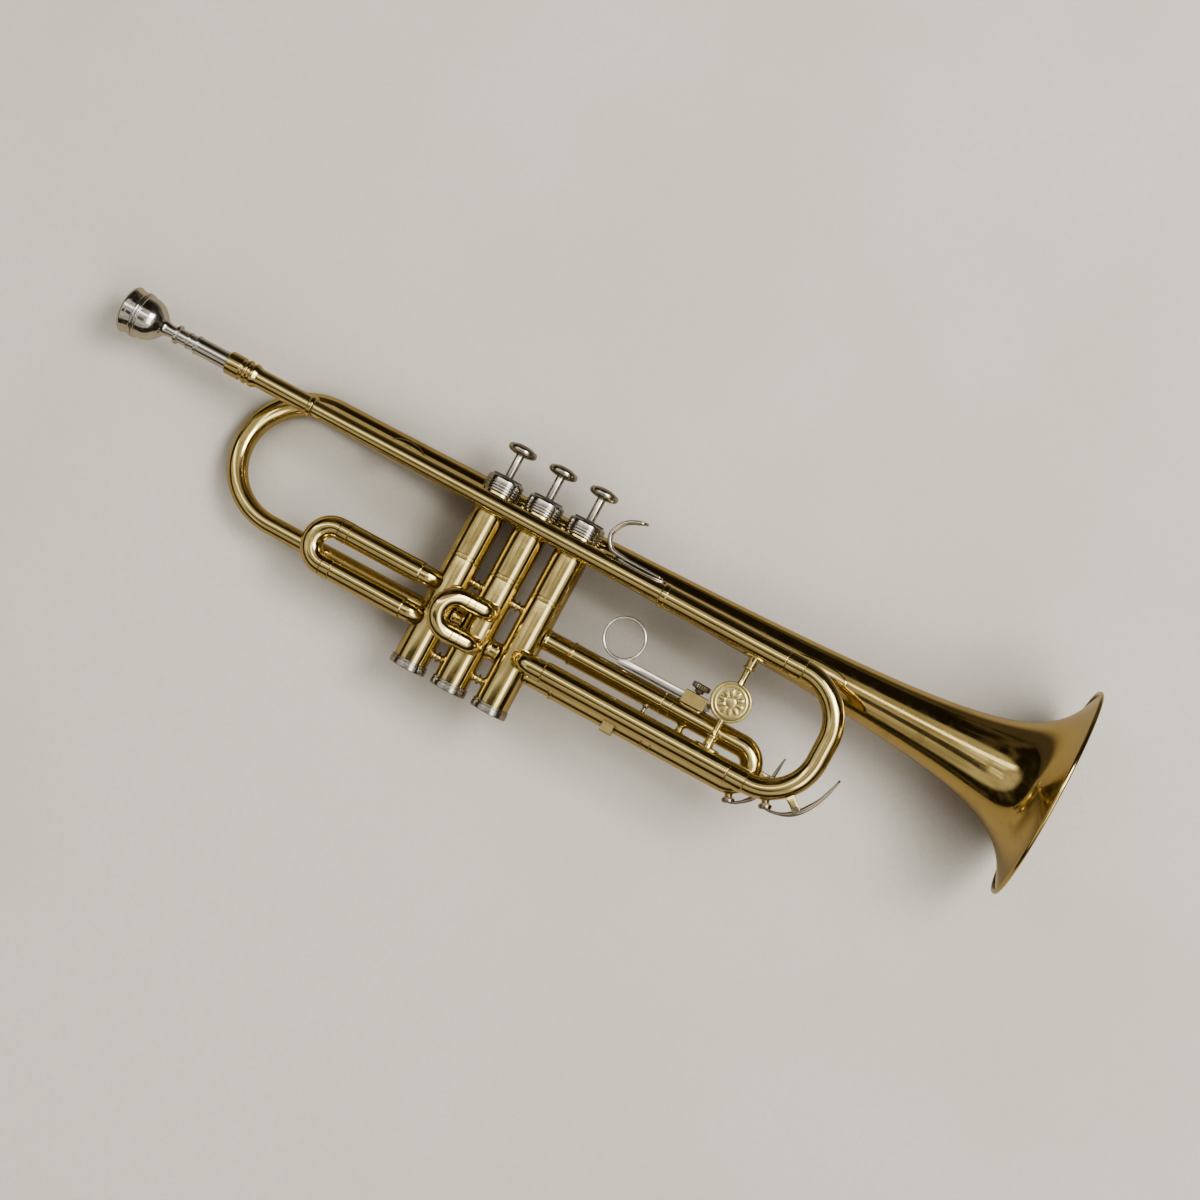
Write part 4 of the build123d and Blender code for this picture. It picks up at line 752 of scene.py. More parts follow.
upper = Shape()
turned(upper, LEAD, ALONG, [
    (MAIN_START, 5.67), (MAIN_START, MAIN_R - 0.1), (MAIN_START + 0.5, MAIN_R + 0.18),
    (MAIN_START + 3.2, MAIN_R + 0.18), (MAIN_START + 3.5, MAIN_R - 0.12), (MAIN_START + 3.9, MAIN_R),
    *tube_end(MAIN_SEAM, MAIN_R, MAIN_BORE),
    (LEAD_END + 1, MAIN_BORE), (LEAD_END - 1, 5.67),
], 0.3)
place(upper, "main_slide_upper_sleeve", "main_slide_upper_tube")

lower = Shape()
turned(lower, (0, LEAD_Y, MAIN_LOW_Z), ALONG, [
    (44.0, 5.2), (44.0, MAIN_R - 0.35), (44.6, MAIN_R), *tube_end(MAIN_SEAM, MAIN_R, MAIN_BORE),
    (50.0, MAIN_BORE), (50.0, 5.2),
], 0.3)
sweep(lower, elbow(3, -1, LEAD_Y, MAIN_LOW_Z, 7.5, 66, 49.9, CASING_R - 0.6), UP, 5.9, 5.15)
place(lower, "main_slide_lower_sleeve", "main_slide_lower_tube")


def slide_leg(shape, origin, direction, inner_start, seam, ferrule_end, inner_radius, ferrule_radius):
    """A slide's inner tube and ferrule. A groove shows where the ferrule meets the outer tube."""
    turned(shape, origin, direction, [
        (inner_start, inner_radius - WALL),
        (inner_start, inner_radius),
        (seam, inner_radius),
        (seam, ferrule_radius - 0.4),
        (seam + 0.35, ferrule_radius),
        (ferrule_end - 0.5, ferrule_radius),
        (ferrule_end, ferrule_radius - 0.45),
        (ferrule_end, inner_radius - WALL),
    ], 0.12)


legs = Shape()
for z in (LEAD_Z, MAIN_LOW_Z):
    slide_leg(legs, (0, LEAD_Y, z), ALONG, 90.0, MAIN_SEAM, MAIN_FERRULE - FILM, MAIN_INNER, MAIN_R + 0.15)
place(legs, "tuning_slide_inner_legs", "tuning_slide_legs")

main_centre_z = (LEAD_Z + MAIN_LOW_Z) / 2
main_half_gap = (LEAD_Z - MAIN_LOW_Z) / 2
KEY_ANGLE = radians(-66.5)
key_heading = Vector((cos(KEY_ANGLE), 0, sin(KEY_ANGLE)))
main_corner = Vector((MAIN_CORNER_X, LEAD_Y, MAIN_LOW_Z + MAIN_CORNER_R))
NIPPLE_END = MAIN_CORNER_R + MAIN_BOW_R + 1.6


def nipple(shape, centre, heading, start, end):
    """A short flared spout for a water key."""
    turned(shape, centre, heading, [
        (start, 1.2), (start, 2.9), (end - 1.9, 2.5), (end - 0.5, 2.0), (end, 2.0), (end, 1.2),
    ], 0.4, segments=32)


main_bow = Shape()
main_bow_path = bow(
    (MAIN_CORNER_X, LEAD_Y, main_centre_z), ALONG, UP, MAIN_CORNER_X - MAIN_FERRULE, main_half_gap,
    MAIN_CORNER_R, 30,
)
sweep(main_bow, main_bow_path, LEFT, MAIN_BOW_R, MAIN_BOW_R - WALL, segments=64)
nipple(main_bow, main_corner, key_heading, MAIN_CORNER_R + MAIN_BOW_R - 0.5, NIPPLE_END)
place(main_bow, "tuning_slide_crook", "tuning_slide_bow")

# ---- Valve casings, caps, felts, stems and buttons ----

top_caps = Shape()
bottom_caps = Shape()
felts = Shape()
for number, x in VALVES.items():
    casing = Shape()
    turned(casing, (x, 0, 0), UP, [
        (CASING_FLOOR, CASING_BORE), (CASING_FLOOR, THREAD_R), (BOTTOM_CAP_H + FILM, THREAD_R),
        (BOTTOM_CAP_H + FILM, CASING_R), (SEAM_Z - 1.5, CASING_R), (SEAM_Z - 1.2, CASING_R - 0.35),
        (SEAM_Z - 0.9, CASING_R - 0.02), (SEAM_Z + 0.9, CASING_R - 0.02),
        (SEAM_Z + 1.2, CASING_R - 0.35),
        (SEAM_Z + 1.5, CASING_R), (CASING_TOP - FILM, CASING_R), (CASING_TOP - FILM, THREAD_R),
        (THREAD_TOP, THREAD_R), (THREAD_TOP, CASING_BORE),
    ], 0.16, segments=96)
    place(casing, f"valve_casing_shell_{number}", f"valve_casing_{number}")

    turned(bottom_caps, (x, 0, 0), UP, [
        (0, 0), (0, 6.6), (0.35, 7.0), (0.35, 8.0), (0, 8.4), (0, 10.1), (0.5, 10.6), (3.2, 10.6),
        (3.5, 10.25), (3.9, 10.25), (4.2, 10.6), (BOTTOM_CAP_H, 10.6), (BOTTOM_CAP_H, CAP_BORE),
        (1.6, CAP_BORE), (1.6, 0),
    ], 0.25, segments=96)

    turned(top_caps, (x, 0, 0), UP, [
        (CASING_TOP, CAP_BORE), (CASING_TOP, 10.2), (108.4, 10.6), (109.3, 10.6), (109.55, 10.2),
        (109.8, 10.7),
        (110.8, 10.7), (111.05, 10.25), (111.3, 10.75), (112.3, 10.75), (112.6, 10.25), (112.9, 10.6),
        (115.5, 10.45), (116.2, 10.1), (TOP_CAP_Z, 9.4), (TOP_CAP_Z, 2.7), (114.1, 2.7), (114.1, CAP_BORE),
    ], 0.2, segments=96)

    turned(felts, (x, 0, 0), UP, [
        (TOP_CAP_Z + FILM, 2.85), (TOP_CAP_Z + FILM, 8.7), (TOP_CAP_Z + 1.3, 8.6), (TOP_CAP_Z + 1.3, 2.85),
    ], 0.3, segments=96, ripple=lambda r, a: 0.06 * sin(7 * a) * sin(3 * a + 1))

    stem = Shape()
    turned(stem, (x, 0, 0), UP, [
        (112.1, 0), (112.1, 1.5), (113.92, 1.5), (113.92, STEM_R), (BUTTON_Z - FILM, STEM_R),
        (BUTTON_Z - FILM, 1.5), (BUTTON_Z + 3, 1.5), (BUTTON_Z + 3, 0),
    ], 0.15, segments=40)
    place(stem, f"valve_stem_rod_{number}", f"valve_stem_{number}")

    button = Shape()
    lathe(button, (x, 0, 0), UP, [
        (BUTTON_Z + h, r) for h, r in [
            (3.1, 0), (3.1, 1.52), (0.15, 1.52), (0, 1.7), (0, 4.0), (0.1, 4.6), (0.7, 6.9), (1.2, 7.7),
            (1.7, 8.15), (2.3, 8.42), (2.9, 8.46), (3.5, 8.4), (4.1, 8.15), (4.6, 7.75), (4.95, 7.2),
            (4.95, 6.85), (4.65, 6.65), (4.65, 6.5), (5.1, 6.3), (5.35, 5.9), (5.5, 5.3), (5.35, 5.05),
            (5.35, 4.9), (5.7, 4.7), (6.0, 3.6), (6.14, 2.0), (6.19, 0.9), (6.2, 0),
        ]
    ], segments=80)
    place(button, f"finger_button_cap_{number}", f"finger_button_{number}")
place(top_caps, "top_caps_turned", "top_caps")
place(bottom_caps, "bottom_caps_turned", "bottom_caps")
place(felts, "cap_felt_washers", "cap_felts")

knuckles = Shape()
for left, right, z in ((VALVES[1], VALVES[2], 38.0), (VALVES[2], VALVES[3], 31.0)):
    turned(knuckles, (0, 0, z), ALONG, [
        (left + 9.2, 5.0), (left + 9.2, 6.3), (left + CASING_R + 0.7, 6.1), (left + CASING_R + 1.2, 5.6),
        (right - CASING_R - 1.2, 5.6), (right - CASING_R - 0.7, 6.1), (right - 9.2, 6.3),
        (right - 9.2, 5.0),
    ], 0.4, segments=64)
place(knuckles, "casing_knuckle_tubes", "casing_knuckles")

spools = Shape()
for left in (1, 2):
    middle = (VALVES[left] + VALVES[left + 1]) / 2
    for z in (13.6, 58.3):
        turned(spools, (middle, 0, z), ALONG, [
            (-3.4, 0), (-3.4, 3.0), (-2.85, 3.0), (-2.2, 2.1), (-1.3, 1.8), (-0.8, 2.0), (-0.5, 3.0),
            (0.5, 3.0), (0.8, 2.0), (1.3, 1.8), (2.2, 2.1), (2.85, 3.0), (3.4, 3.0), (3.4, 0),
        ], 0.25, segments=40)
place(spools, "casing_spool_posts", "casing_spools")

# ---- Braces and medallion ----

def brace(name, node, near_x, far_x, near_radius, near_length, near_width, far_length):
    """A turned rod from the leadpipe side to the bell, with an oval plate at each end."""
    near = Vector((near_x, LEAD_Y, LEAD_Z))
    far = Vector((far_x, BELL_Y, BELL_Z))
    shape = Shape()
    reach = (far - near).length
    start = near_radius(0) - 0.2
    end = reach - bell_radius(far_x) + 0.2
    middle = reach / 2
    turned(shape, near, far - near, [
        (start, 0), (start, 3.3), (start + 1.2, 3.0), (start + 2.4, 2.3), (middle - 1.9, 2.15),
        (middle - 1.0, 3.1), (middle + 1.0, 3.1), (middle + 1.9, 2.15), (end - 2.4, 2.3),
        (end - 1.2, 3.0), (end, 3.3), (end, 0),
    ], 0.6, segments=48, steps=5)
    saddle(shape, near, ALONG, LEFT, near_radius, near_length, near_width, 0.9)
    saddle(shape, far, ALONG, RIGHT, lambda along: bell_radius(far_x + along), far_length, 9.4, 0.9)
    place(shape, name, node)


REAR_BRACE_X = -85.0
brace(
    "rear_bell_brace", "bell_brace_rear", REAR_BRACE_X, REAR_BRACE_X,
    lambda a: leadpipe_radius(REAR_BRACE_X + a), 18.0, 7.4, 21.0,
)
brace("front_bell_brace", "bell_brace_front", 144.0, 172.0, lambda a: MAIN_R, 20.0, 8.4, 34.0)

MEDAL_X = 139.7
MEDAL_Z = 67.9
MEDAL_R = 11.3
posts = Shape()
for tube_z, heading in ((LEAD_Z, DOWN), (MAIN_LOW_Z, UP)):
    foot_top = MAIN_R + 0.5
    reach = abs(tube_z - MEDAL_Z) - MEDAL_R + 1.0
    turned(posts, (MEDAL_X, LEAD_Y, tube_z), heading, [
        (MAIN_R - 0.3, 0), (MAIN_R - 0.3, 3.4), (foot_top + 1.0, 2.85), (foot_top + 2.2, 2.65),
        (0.50 * reach, 2.65), (0.525 * reach, 2.3), (0.54 * reach, 3.35), (0.585 * reach, 3.35),
        (0.60 * reach, 2.1), (0.66 * reach, 1.8), (0.9 * reach, 1.75), (reach, 2.2), (reach, 0),
    ], 0.4, segments=48, steps=4)
    saddle(posts, (MEDAL_X, LEAD_Y, tube_z), ALONG, heading, lambda along: MAIN_R, 14.0, 7.4, 0.8)
place(posts, "medallion_post_pair", "medallion_posts")

# the medallion: a raised rim, a sunk ring and a plain rosette in relief
PETALS = 10
MEDAL_STEPS = 160
medallion = Shape()
back_line = [(0, MEDAL_R - 0.6), (0.25, MEDAL_R - 0.15), (0.7, MEDAL_R), (1.5, MEDAL_R)]
front_line = [
    (1.95, MEDAL_R - 0.15), (2.2, MEDAL_R - 0.6), (2.2, MEDAL_R - 1.3), (2.0, MEDAL_R - 1.7),
    (1.7, MEDAL_R - 1.9), (1.7, MEDAL_R - 2.6), (1.85, MEDAL_R - 2.8), (1.85, MEDAL_R - 3.2),
    (1.7, MEDAL_R - 3.4),
]
rings = [[Vector((0, 0, 0))]]
for height, radius in back_line + front_line:
    rings.append([Vector((radius * cos(a), height, radius * sin(a))) for a in turns(MEDAL_STEPS)])
for radius in [7.6, 7.2, 6.8, 6.3, 5.8, 5.2, 4.6, 4.0, 3.5, 3.1, 2.8, 2.5, 2.2, 1.8, 1.2, 0.6]:
    ring = []
    for angle in turns(MEDAL_STEPS):
        petal = abs(cos(PETALS / 2 * angle)) ** 0.7
        reach = 2.8 + 4.4 * petal
        inside = min(max((reach - radius) / 0.9, 0.0), 1.0)
        ridge = 0.45 * inside * (0.55 + 0.45 * petal)
        if radius <= 2.5:
            ridge = 0.28 + 0.22 * (1 - (radius / 2.5) ** 2) ** 0.5
        elif radius <= 3.1:
            ridge = 0.08
        ring.append(Vector((radius * cos(angle), 1.7 + ridge, radius * sin(angle))))
    rings.append(ring)
rings.append([Vector((0, 2.2, 0))])
medallion.skin([
    [Vector((MEDAL_X + p.x, LEAD_Y + 1.1 - min(p.y, 2.2), MEDAL_Z + p.z)) for p in ring]
    for ring in rings
])
place(medallion, "medallion_rosette", "medallion", smooth=50)

# ---- First valve slide ----

FIRST_Y = -9.0
FIRST_LEVELS = (49.8, 28.3)
FIRST_R = 6.25
FIRST_START = -41.0
FIRST_SEAM = -85.5
FIRST_BOW_X = -91.7
FIRST_INNER = FIRST_R - WALL - 0.05

tubes, inner = Shape(), Shape()
for z in FIRST_LEVELS:
    turned(tubes, (0, FIRST_Y, z), -ALONG, [
        (-FIRST_START, 5.15), (-FIRST_START, FIRST_R - 0.3), (-FIRST_START + 0.6, FIRST_R),
        *tube_end(-FIRST_SEAM, FIRST_R, FIRST_R - WALL),
        (-FIRST_START + 3, FIRST_R - WALL), (-FIRST_START + 3, 5.15),
    ], 0.25)
    sweep(tubes, elbow(1, 1, FIRST_Y, z, 12.0, 38, FIRST_START - 2.9, CASING_R - 0.6), UP, 5.6, 5.0)
    slide_leg(inner, (0, FIRST_Y, z), -ALONG, 46.0, -FIRST_SEAM, -FIRST_BOW_X - FILM, FIRST_INNER,
              FIRST_R + 0.15)
place(tubes, "first_slide_sleeves", "first_slide_outer_tubes")
place(inner, "first_slide_inner_legs", "first_slide_legs")
first_half_gap = (FIRST_LEVELS[0] - FIRST_LEVELS[1]) / 2
first_centre_z = (FIRST_LEVELS[0] + FIRST_LEVELS[1]) / 2
crook = Shape()
sweep(
    crook,
    bow((FIRST_BOW_X - 0.5, FIRST_Y, first_centre_z), -ALONG, UP, 0.5, first_half_gap, first_half_gap, 24),
    RIGHT, FIRST_R, FIRST_R - WALL, segments=56,
)
place(crook, "first_slide_crook", "first_slide_bow")

# ---- Second valve slide ----

SECOND_X = 2.3
SECOND_LEVELS = (48.8, 28.6)
SECOND_R = 5.55
SECOND_INNER = SECOND_R - WALL - 0.05
SECOND_BEND = 6.0
SECOND_BEND_Y = -10.2
SECOND_LEAN = radians(22)
SECOND_STRAIGHT = 5.1
SECOND_FERRULE_END = SECOND_STRAIGHT + 4.5
second_heading = Vector((-cos(SECOND_LEAN), -sin(SECOND_LEAN), 0))

tubes, inner = Shape(), Shape()
for z in SECOND_LEVELS:
    path = [Vector((SECOND_X, -CASING_R + 0.8, z)), Vector((SECOND_X, SECOND_BEND_Y, z))]
    centre = (SECOND_X - SECOND_BEND, SECOND_BEND_Y, z)
    path += arc(centre, (1, 0, 0), (0, -1, 0), SECOND_BEND, 0, 68, 16)[1:]
    bend_end = path[-1].copy()
    path.append(bend_end + second_heading * (SECOND_STRAIGHT - FILM))
    sweep(tubes, path, UP, SECOND_R, SECOND_R - WALL)
    slide_leg(inner, bend_end, second_heading, 0.1, SECOND_STRAIGHT, SECOND_FERRULE_END - FILM,
              SECOND_INNER, SECOND_R + 0.15)
place(tubes, "second_slide_sleeves", "second_slide_outer_tubes")
place(inner, "second_slide_inner_legs", "second_slide_legs")
second_half_gap = (SECOND_LEVELS[0] - SECOND_LEVELS[1]) / 2
second_base = Vector((bend_end.x, bend_end.y, (SECOND_LEVELS[0] + SECOND_LEVELS[1]) / 2))
crook = Shape()
sweep(
    crook,
    bow(second_base + second_heading * (SECOND_FERRULE_END + 1.5), second_heading, UP, 1.5,
        second_half_gap, second_half_gap, 24),
    UP.cross(second_heading), SECOND_R, SECOND_R - WALL, segments=56,
)
place(crook, "second_slide_crook", "second_slide_bow")

# ---- Third valve slide ----

THIRD_LEVELS = (50.1, 29.0)
THIRD_R = 6.3
THIRD_COLLAR = 51.0
THIRD_SEAM = 106.9
THIRD_FERRULE = 112.5
THIRD_BOW_X = 154.5
THIRD_INNER = THIRD_R - WALL - 0.05

tubes, inner = Shape(), Shape()
for z in THIRD_LEVELS:
    wall = VALVES[3] + CASING_R
    turned(tubes, (0, 0, z), ALONG, [
        (wall - 0.6, 5.0), (wall - 0.6, 6.3), (wall + 0.8, 6.15), (wall + 1.3, 5.9),
        (THIRD_COLLAR - 0.9, 5.9), (THIRD_COLLAR - 0.8, 6.7), (THIRD_COLLAR + 0.8, 6.7),
        (THIRD_COLLAR + 1.0, THIRD_R - 0.15), (THIRD_COLLAR + 1.4, THIRD_R),
        *tube_end(THIRD_SEAM, THIRD_R, THIRD_R - WALL),
        (THIRD_COLLAR + 4, THIRD_R - WALL), (THIRD_COLLAR + 4, 5.0),
    ], 0.3)
    slide_leg(inner, (0, 0, z), ALONG, THIRD_COLLAR + 7, THIRD_SEAM, THIRD_FERRULE - FILM, THIRD_INNER,
              THIRD_R + 0.15)
place(tubes, "third_slide_sleeves", "third_slide_outer_tubes")
place(inner, "third_slide_inner_legs", "third_slide_legs")
third_half_gap = (THIRD_LEVELS[0] - THIRD_LEVELS[1]) / 2
third_centre = Vector((THIRD_BOW_X, 0, (THIRD_LEVELS[0] + THIRD_LEVELS[1]) / 2))
THIRD_KEY_ANGLE = radians(-67)
third_heading = Vector((cos(THIRD_KEY_ANGLE), 0, sin(THIRD_KEY_ANGLE)))
THIRD_NIPPLE_END = third_half_gap + THIRD_R + 1.6
crook = Shape()
sweep(
    crook,
    bow(third_centre, ALONG, UP, THIRD_BOW_X - THIRD_FERRULE, third_half_gap, third_half_gap, 24),
    LEFT, THIRD_R, THIRD_R - WALL, segments=56,
)
nipple(crook, third_centre, third_heading, third_half_gap + THIRD_R - 0.5, THIRD_NIPPLE_END)
place(crook, "third_slide_crook", "third_slide_bow")


def leg_brace(name, node, x, post, bead):
    """A turned post between the third slide's two legs."""
    shape = Shape()
    half = third_half_gap - THIRD_R + 0.3
    turned(shape, (x, 0, third_centre.z), UP, [
        (-half, 0), (-half, post + 1.0), (-half + 0.5, post + 0.8), (-half + 1.1, post), (-1.5, post),
        (-0.8, bead), (0.8, bead), (1.5, post), (half - 1.1, post), (half - 0.5, post + 0.8),
        (half, post + 1.0), (half, 0),
    ], 0.4, segments=40, steps=4)
    place(shape, name, node)


leg_brace("third_slide_thin_brace", "third_slide_fixed_brace", 99.5, 1.1, 1.7)
leg_brace("third_slide_turned_brace", "third_slide_moving_brace", 121.6, 2.0, 3.3)

# ---- Finger ring and thumb screw ----

RING_X = 72.3
RING_Z = 70.9
RING_R = 11.4
RING_WIRE_R = 0.85
BAR_LOW = 57.1
BAR_HIGH = 61.5
SCREW_X = 121.3

ring = Shape()
wire = []
for angle in turns(96):
    spoke = Vector((cos(angle), 0, sin(angle)))
    centre = Vector((RING_X, 0, RING_Z)) + spoke * RING_R
    wire.append([
        centre + spoke * (RING_WIRE_R * cos(a)) + LEFT * (RING_WIRE_R * 1.15 * sin(a))
        for a in turns(16)
    ])
ring.skin(wire, closed=True)
plate(ring, [
    (RING_X + 3.2, BAR_LOW), (131.0, BAR_LOW), (131.0, BAR_HIGH), (RING_X + 9.0, BAR_HIGH),
    (RING_X + 6.4, RING_Z - RING_R + 1.75), (RING_X + 2.0, RING_Z - RING_R - 0.2),
], (0, 0, 0), ALONG, UP, 2.0, 0.3, 0.8)
place(ring, "finger_ring_and_bar", "finger_ring")

NOTCHES = 20
screw = Shape()
turned(screw, (SCREW_X, 0, 0), UP, [
    (61.6, 0), (61.6, 1.15), (63.6, 1.15), (63.9, 2.6), (65.4, 2.6), (65.8, 4.5), (66.2, 5.1), (68.4, 5.1),
    (69.0, 4.5), (69.0, 2.6), (68.75, 2.3), (68.75, 0),
], 0.25, segments=160, ripple=lambda r, a: -0.3 * max(cos(NOTCHES * a), -0.4) if r > 4.3 else 0)
place(screw, "ring_screw_knob", "ring_thumb_screw")

# ---- Water keys ----

CORK_R = 2.9
CORK_H = 2.0
KEY_HUB_R = 2.2
EAR_GAP = 3.3


def water_key(prefix, node_prefix, pivot, line, cork_top, heading):
    """A lever with hub, cup and finger tip, and its cork."""
    lever = Shape()

    def width(share):
        taper = 1 if share < 0.45 else 1 - 0.32 * (share - 0.45) / 0.55
        tip = 1.0 if share < 0.97 else max(1 - ((share - 0.97) / 0.03) ** 2, 0.02) ** 0.5
        start = min(share / 0.02, 1.0) ** 0.5 if share < 0.02 else 1.0
        return max(2.0 * taper * tip * start, 0.08)

    def half_thickness(share):
        return blend_stops(share, [(0, 0.7), (0.15, 0.9), (0.35, 1.5), (0.5, 1.6), (0.75, 1.1), (1, 0.6)])

    strip(lever, line, LEFT, width, half_thickness, segments=24, power=2.6)
    turned(lever, cork_top, heading, [
        (CORK_H, 0), (CORK_H, CORK_R + 0.02), (0.8, CORK_R + 0.02), (0.8, CORK_R + 0.7),
        (CORK_H + 0.5, CORK_R + 0.7), (CORK_H + 1.2, CORK_R - 0.2), (CORK_H + 1.2, 0),
    ], 0.35, segments=48)
    half = EAR_GAP - 0.1
    turned(lever, Vector(pivot) - LEFT * half, LEFT, [
        (0, 1.05), (0, KEY_HUB_R), (2 * half, KEY_HUB_R), (2 * half, 1.05),
    ], 0.3, segments=36)
    place(lever, f"{prefix}_lever_strap", f"{node_prefix}_lever")
    cork = Shape()
    turned(cork, cork_top, heading, [
        (0, 0), (0, CORK_R - 0.1), (CORK_H - FILM, CORK_R), (CORK_H - FILM, 0),
    ], 0.3, segments=40)
    place(cork, f"{prefix}_cork_pad", f"{node_prefix}_cork")


def key_saddle(name, node, pivot, seat, depth, bow_radius):
    """Two rounded ears for the pivot screw, on a block that meets the bow."""
    toward = Vector((seat[0], pivot.y, seat[1])) - pivot
    reach = toward.length - bow_radius + 0.4
    u = toward.normalized()
    v = u.cross(LEFT)
    shape = Shape()
    nose = [(2.3 * cos(radians(a)), 2.3 * sin(radians(a))) for a in range(100, 261, 10)]
    for side in (-1, 1):
        ear = nose + [(depth, -2.1), (reach, -2.5), (reach, 2.5), (depth, 2.1)]
        plate(shape, ear, pivot + LEFT * (side * (EAR_GAP + 0.6)), u, v, 1.2, 0.2, 0.4)
    block = [(depth, -2.0), (reach, -2.3), (reach, 2.3), (depth, 2.0)]
    plate(shape, block, pivot, u, v, 2 * EAR_GAP + 0.2, 0.1, 0.4)
    place(shape, name, node)


main_pivot = Vector((196.5, LEAD_Y, 34.4))
key_saddle(
    "water_key_ears", "water_key_saddle", main_pivot,
    (MAIN_CORNER_X + 0.7 * MAIN_CORNER_R, MAIN_LOW_Z + 0.3 * MAIN_CORNER_R), 3.2, MAIN_BOW_R,
)
main_cork = main_corner + key_heading * (NIPPLE_END + FILM)
main_back = main_cork + key_heading * (CORK_H + 0.55)
main_line = curve(
    [(x, LEAD_Y, z) for x, z in [
        (main_back.x - 1.0, main_back.z), (191.5, 28.9), (197.9, 33.2), (205.0, 43.8), (209.7, 59.0),
    ]],
    (1, 0, -0.25), (0.2, 0, 1), 12,
)
water_key("water_key", "water_key", main_pivot, main_line, main_cork, key_heading)

third_pivot = Vector((176.0, 0, 41.0))
key_saddle(
    "third_key_ears", "third_water_key_saddle", third_pivot,
    (THIRD_BOW_X + third_half_gap, third_pivot.z), 2.9, THIRD_R,
)
third_cork = third_centre + third_heading * (THIRD_NIPPLE_END + FILM)
third_back = third_cork + third_heading * (CORK_H + 0.55)
third_line = curve(
    [(x, 0, z) for x, z in [
        (third_back.x - 1.0, third_back.z - 0.3), (172.6, 27.2), (177.2, 38.1), (178.0, 46.0),
        (179.0, 55.0),
    ]],
    (1, 0, 0.1), (0.2, 0, 1), 12,
)
water_key("third_key", "third_water_key", third_pivot, third_line, third_cork, third_heading)

# CAD nodes that are shown as they are take their slot's finish
for name, node in frame["nodes"].items():
    if not node.hide_render:
        slot = node_slot(name)
        node.data.materials.clear()
        node.data.materials.append(finish(slot))

# ---- Floor, light and camera ----

# the floor touches the bell's rim and the back of its bow
touch_rim = Vector((BELL_EDGE_X, BELL_Y + BELL_RIM_R, 0))
touch_tail = Vector((BELL_TAIL_X, BELL_Y + tail_radius, 0))
floor_along = (touch_rim - touch_tail).normalized()
floor_normal = Vector((floor_along.y, -floor_along.x, 0))
floor_point = touch_tail - floor_normal * 0.3
FLOOR_HALF = 2600.0
FLOOR_CELLS = 24
marks = [(2 * k / FLOOR_CELLS - 1) * FLOOR_HALF for k in range(FLOOR_CELLS + 1)]
grid = [tuple((floor_point + floor_along * a + UP * b) * MM) for a in marks for b in marks]
corners = [i * (FLOOR_CELLS + 1) + j for i in range(FLOOR_CELLS) for j in range(FLOOR_CELLS)]
floor_mesh = bpy.data.meshes.new("studio_floor")
floor_mesh.from_pydata(
    grid, [], [(k, k + FLOOR_CELLS + 1, k + FLOOR_CELLS + 2, k + 1) for k in corners]
)
if floor_mesh.polygons[0].normal.dot(floor_normal) < 0:
    floor_mesh.flip_normals()
add_object("studio_floor", floor_mesh)

floor_material, n = new_material("studio_floor")
place_ = n.millimetres()
weave = n.noise(place_, 0.35, 5, 0.6)
cloud = n.noise(place_, 0.006, 3, 0.5)
tone = n.mix(n.range(cloud, 0.35, 0.65), rgb(0.70, 0.665, 0.61), rgb(0.76, 0.73, 0.68))
tone = n.mix(n.range(weave, 0.4, 0.7, 0.0, 0.35), tone, rgb(0.64, 0.60, 0.545))
# painted shade in reflections: metals see a warmer and darker floor than the camera does, and a painted
# dark far side past the buttons
mirrored = n.add("LightPath").outputs["Is Glossy Ray"]
tone = n.mix(mirrored, tone, rgb(0.33, 0.275, 0.19))
floor_place = n.add("SeparateXYZ", {0: n.add("NewGeometry").outputs["Position"]})
painted_far_shade = n.times(mirrored, n.range(floor_place.outputs[2], 0.19, 0.27))
tone = n.mix(painted_far_shade, tone, rgb(0.035, 0.027, 0.018))
# a painted contact shadow where the instrument lies close to the floor
near = n.add("AmbientOcclusion", {"Distance": 0.07}, samples=6).outputs["AO"]
tone = n.mix(n.range(near, 0.25, 0.97, 0.75, 0.0), tone, rgb(0.13, 0.105, 0.08))
relief = n.add("Bump", {"Strength": 0.25, "Distance": 0.0004, "Height": weave})
surface = n.add("BsdfPrincipled", {
    "Base Color": tone, "Roughness": 0.9, "Normal": relief.outputs["Normal"],
})
clear = n.add("BsdfTransparent")
facing = n.add("NewGeometry").outputs["Backfacing"]
cover = n.add("MixShader", {
    0: facing, 1: surface.outputs["BSDF"], 2: clear.outputs["BSDF"],
})
n.add("OutputMaterial", {"Surface": cover.outputs["Shader"]})
floor_mesh.materials.append(floor_material)

world = bpy.data.worlds.new("studio")
bpy.context.scene.world = world
world.use_nodes = True
n = Nodes(world.node_tree)
x_, y_, z_ = n.add("SeparateXYZ", {0: n.add("TexCoord").outputs["Generated"]}).outputs
above = n.times(y_, -1.0)


def band(value, low, high, soft):
    """1 between low and high, fading to 0 over soft on each side."""
    return n.times(
        n.range(value, low - soft, low + soft), n.range(value, high - soft, high + soft, 1.0, 0.0)
    )


# a dark ring of walls round a pale ceiling, which begins higher on the side of the buttons
way = n.add("TexCoord").outputs["Generated"]
blotch = n.noise(way, 3.2, 3, 0.5)
walls = n.mix(n.range(blotch, 0.5, 0.68), rgb(0.018, 0.014, 0.010), rgb(0.13, 0.105, 0.075))
ceiling = n.mix(n.range(blotch, 0.38, 0.62), rgb(0.44, 0.395, 0.325), rgb(0.78, 0.72, 0.61))
sky = n.mix(n.range(above, -0.12, 0.0), rgb(0.42, 0.36, 0.27), walls)
height = n.math("SUBTRACT", above, n.times(n.math("MAXIMUM", z_, 0.0), 0.55))
sky = n.mix(n.range(height, 0.40, 0.54), sky, ceiling)
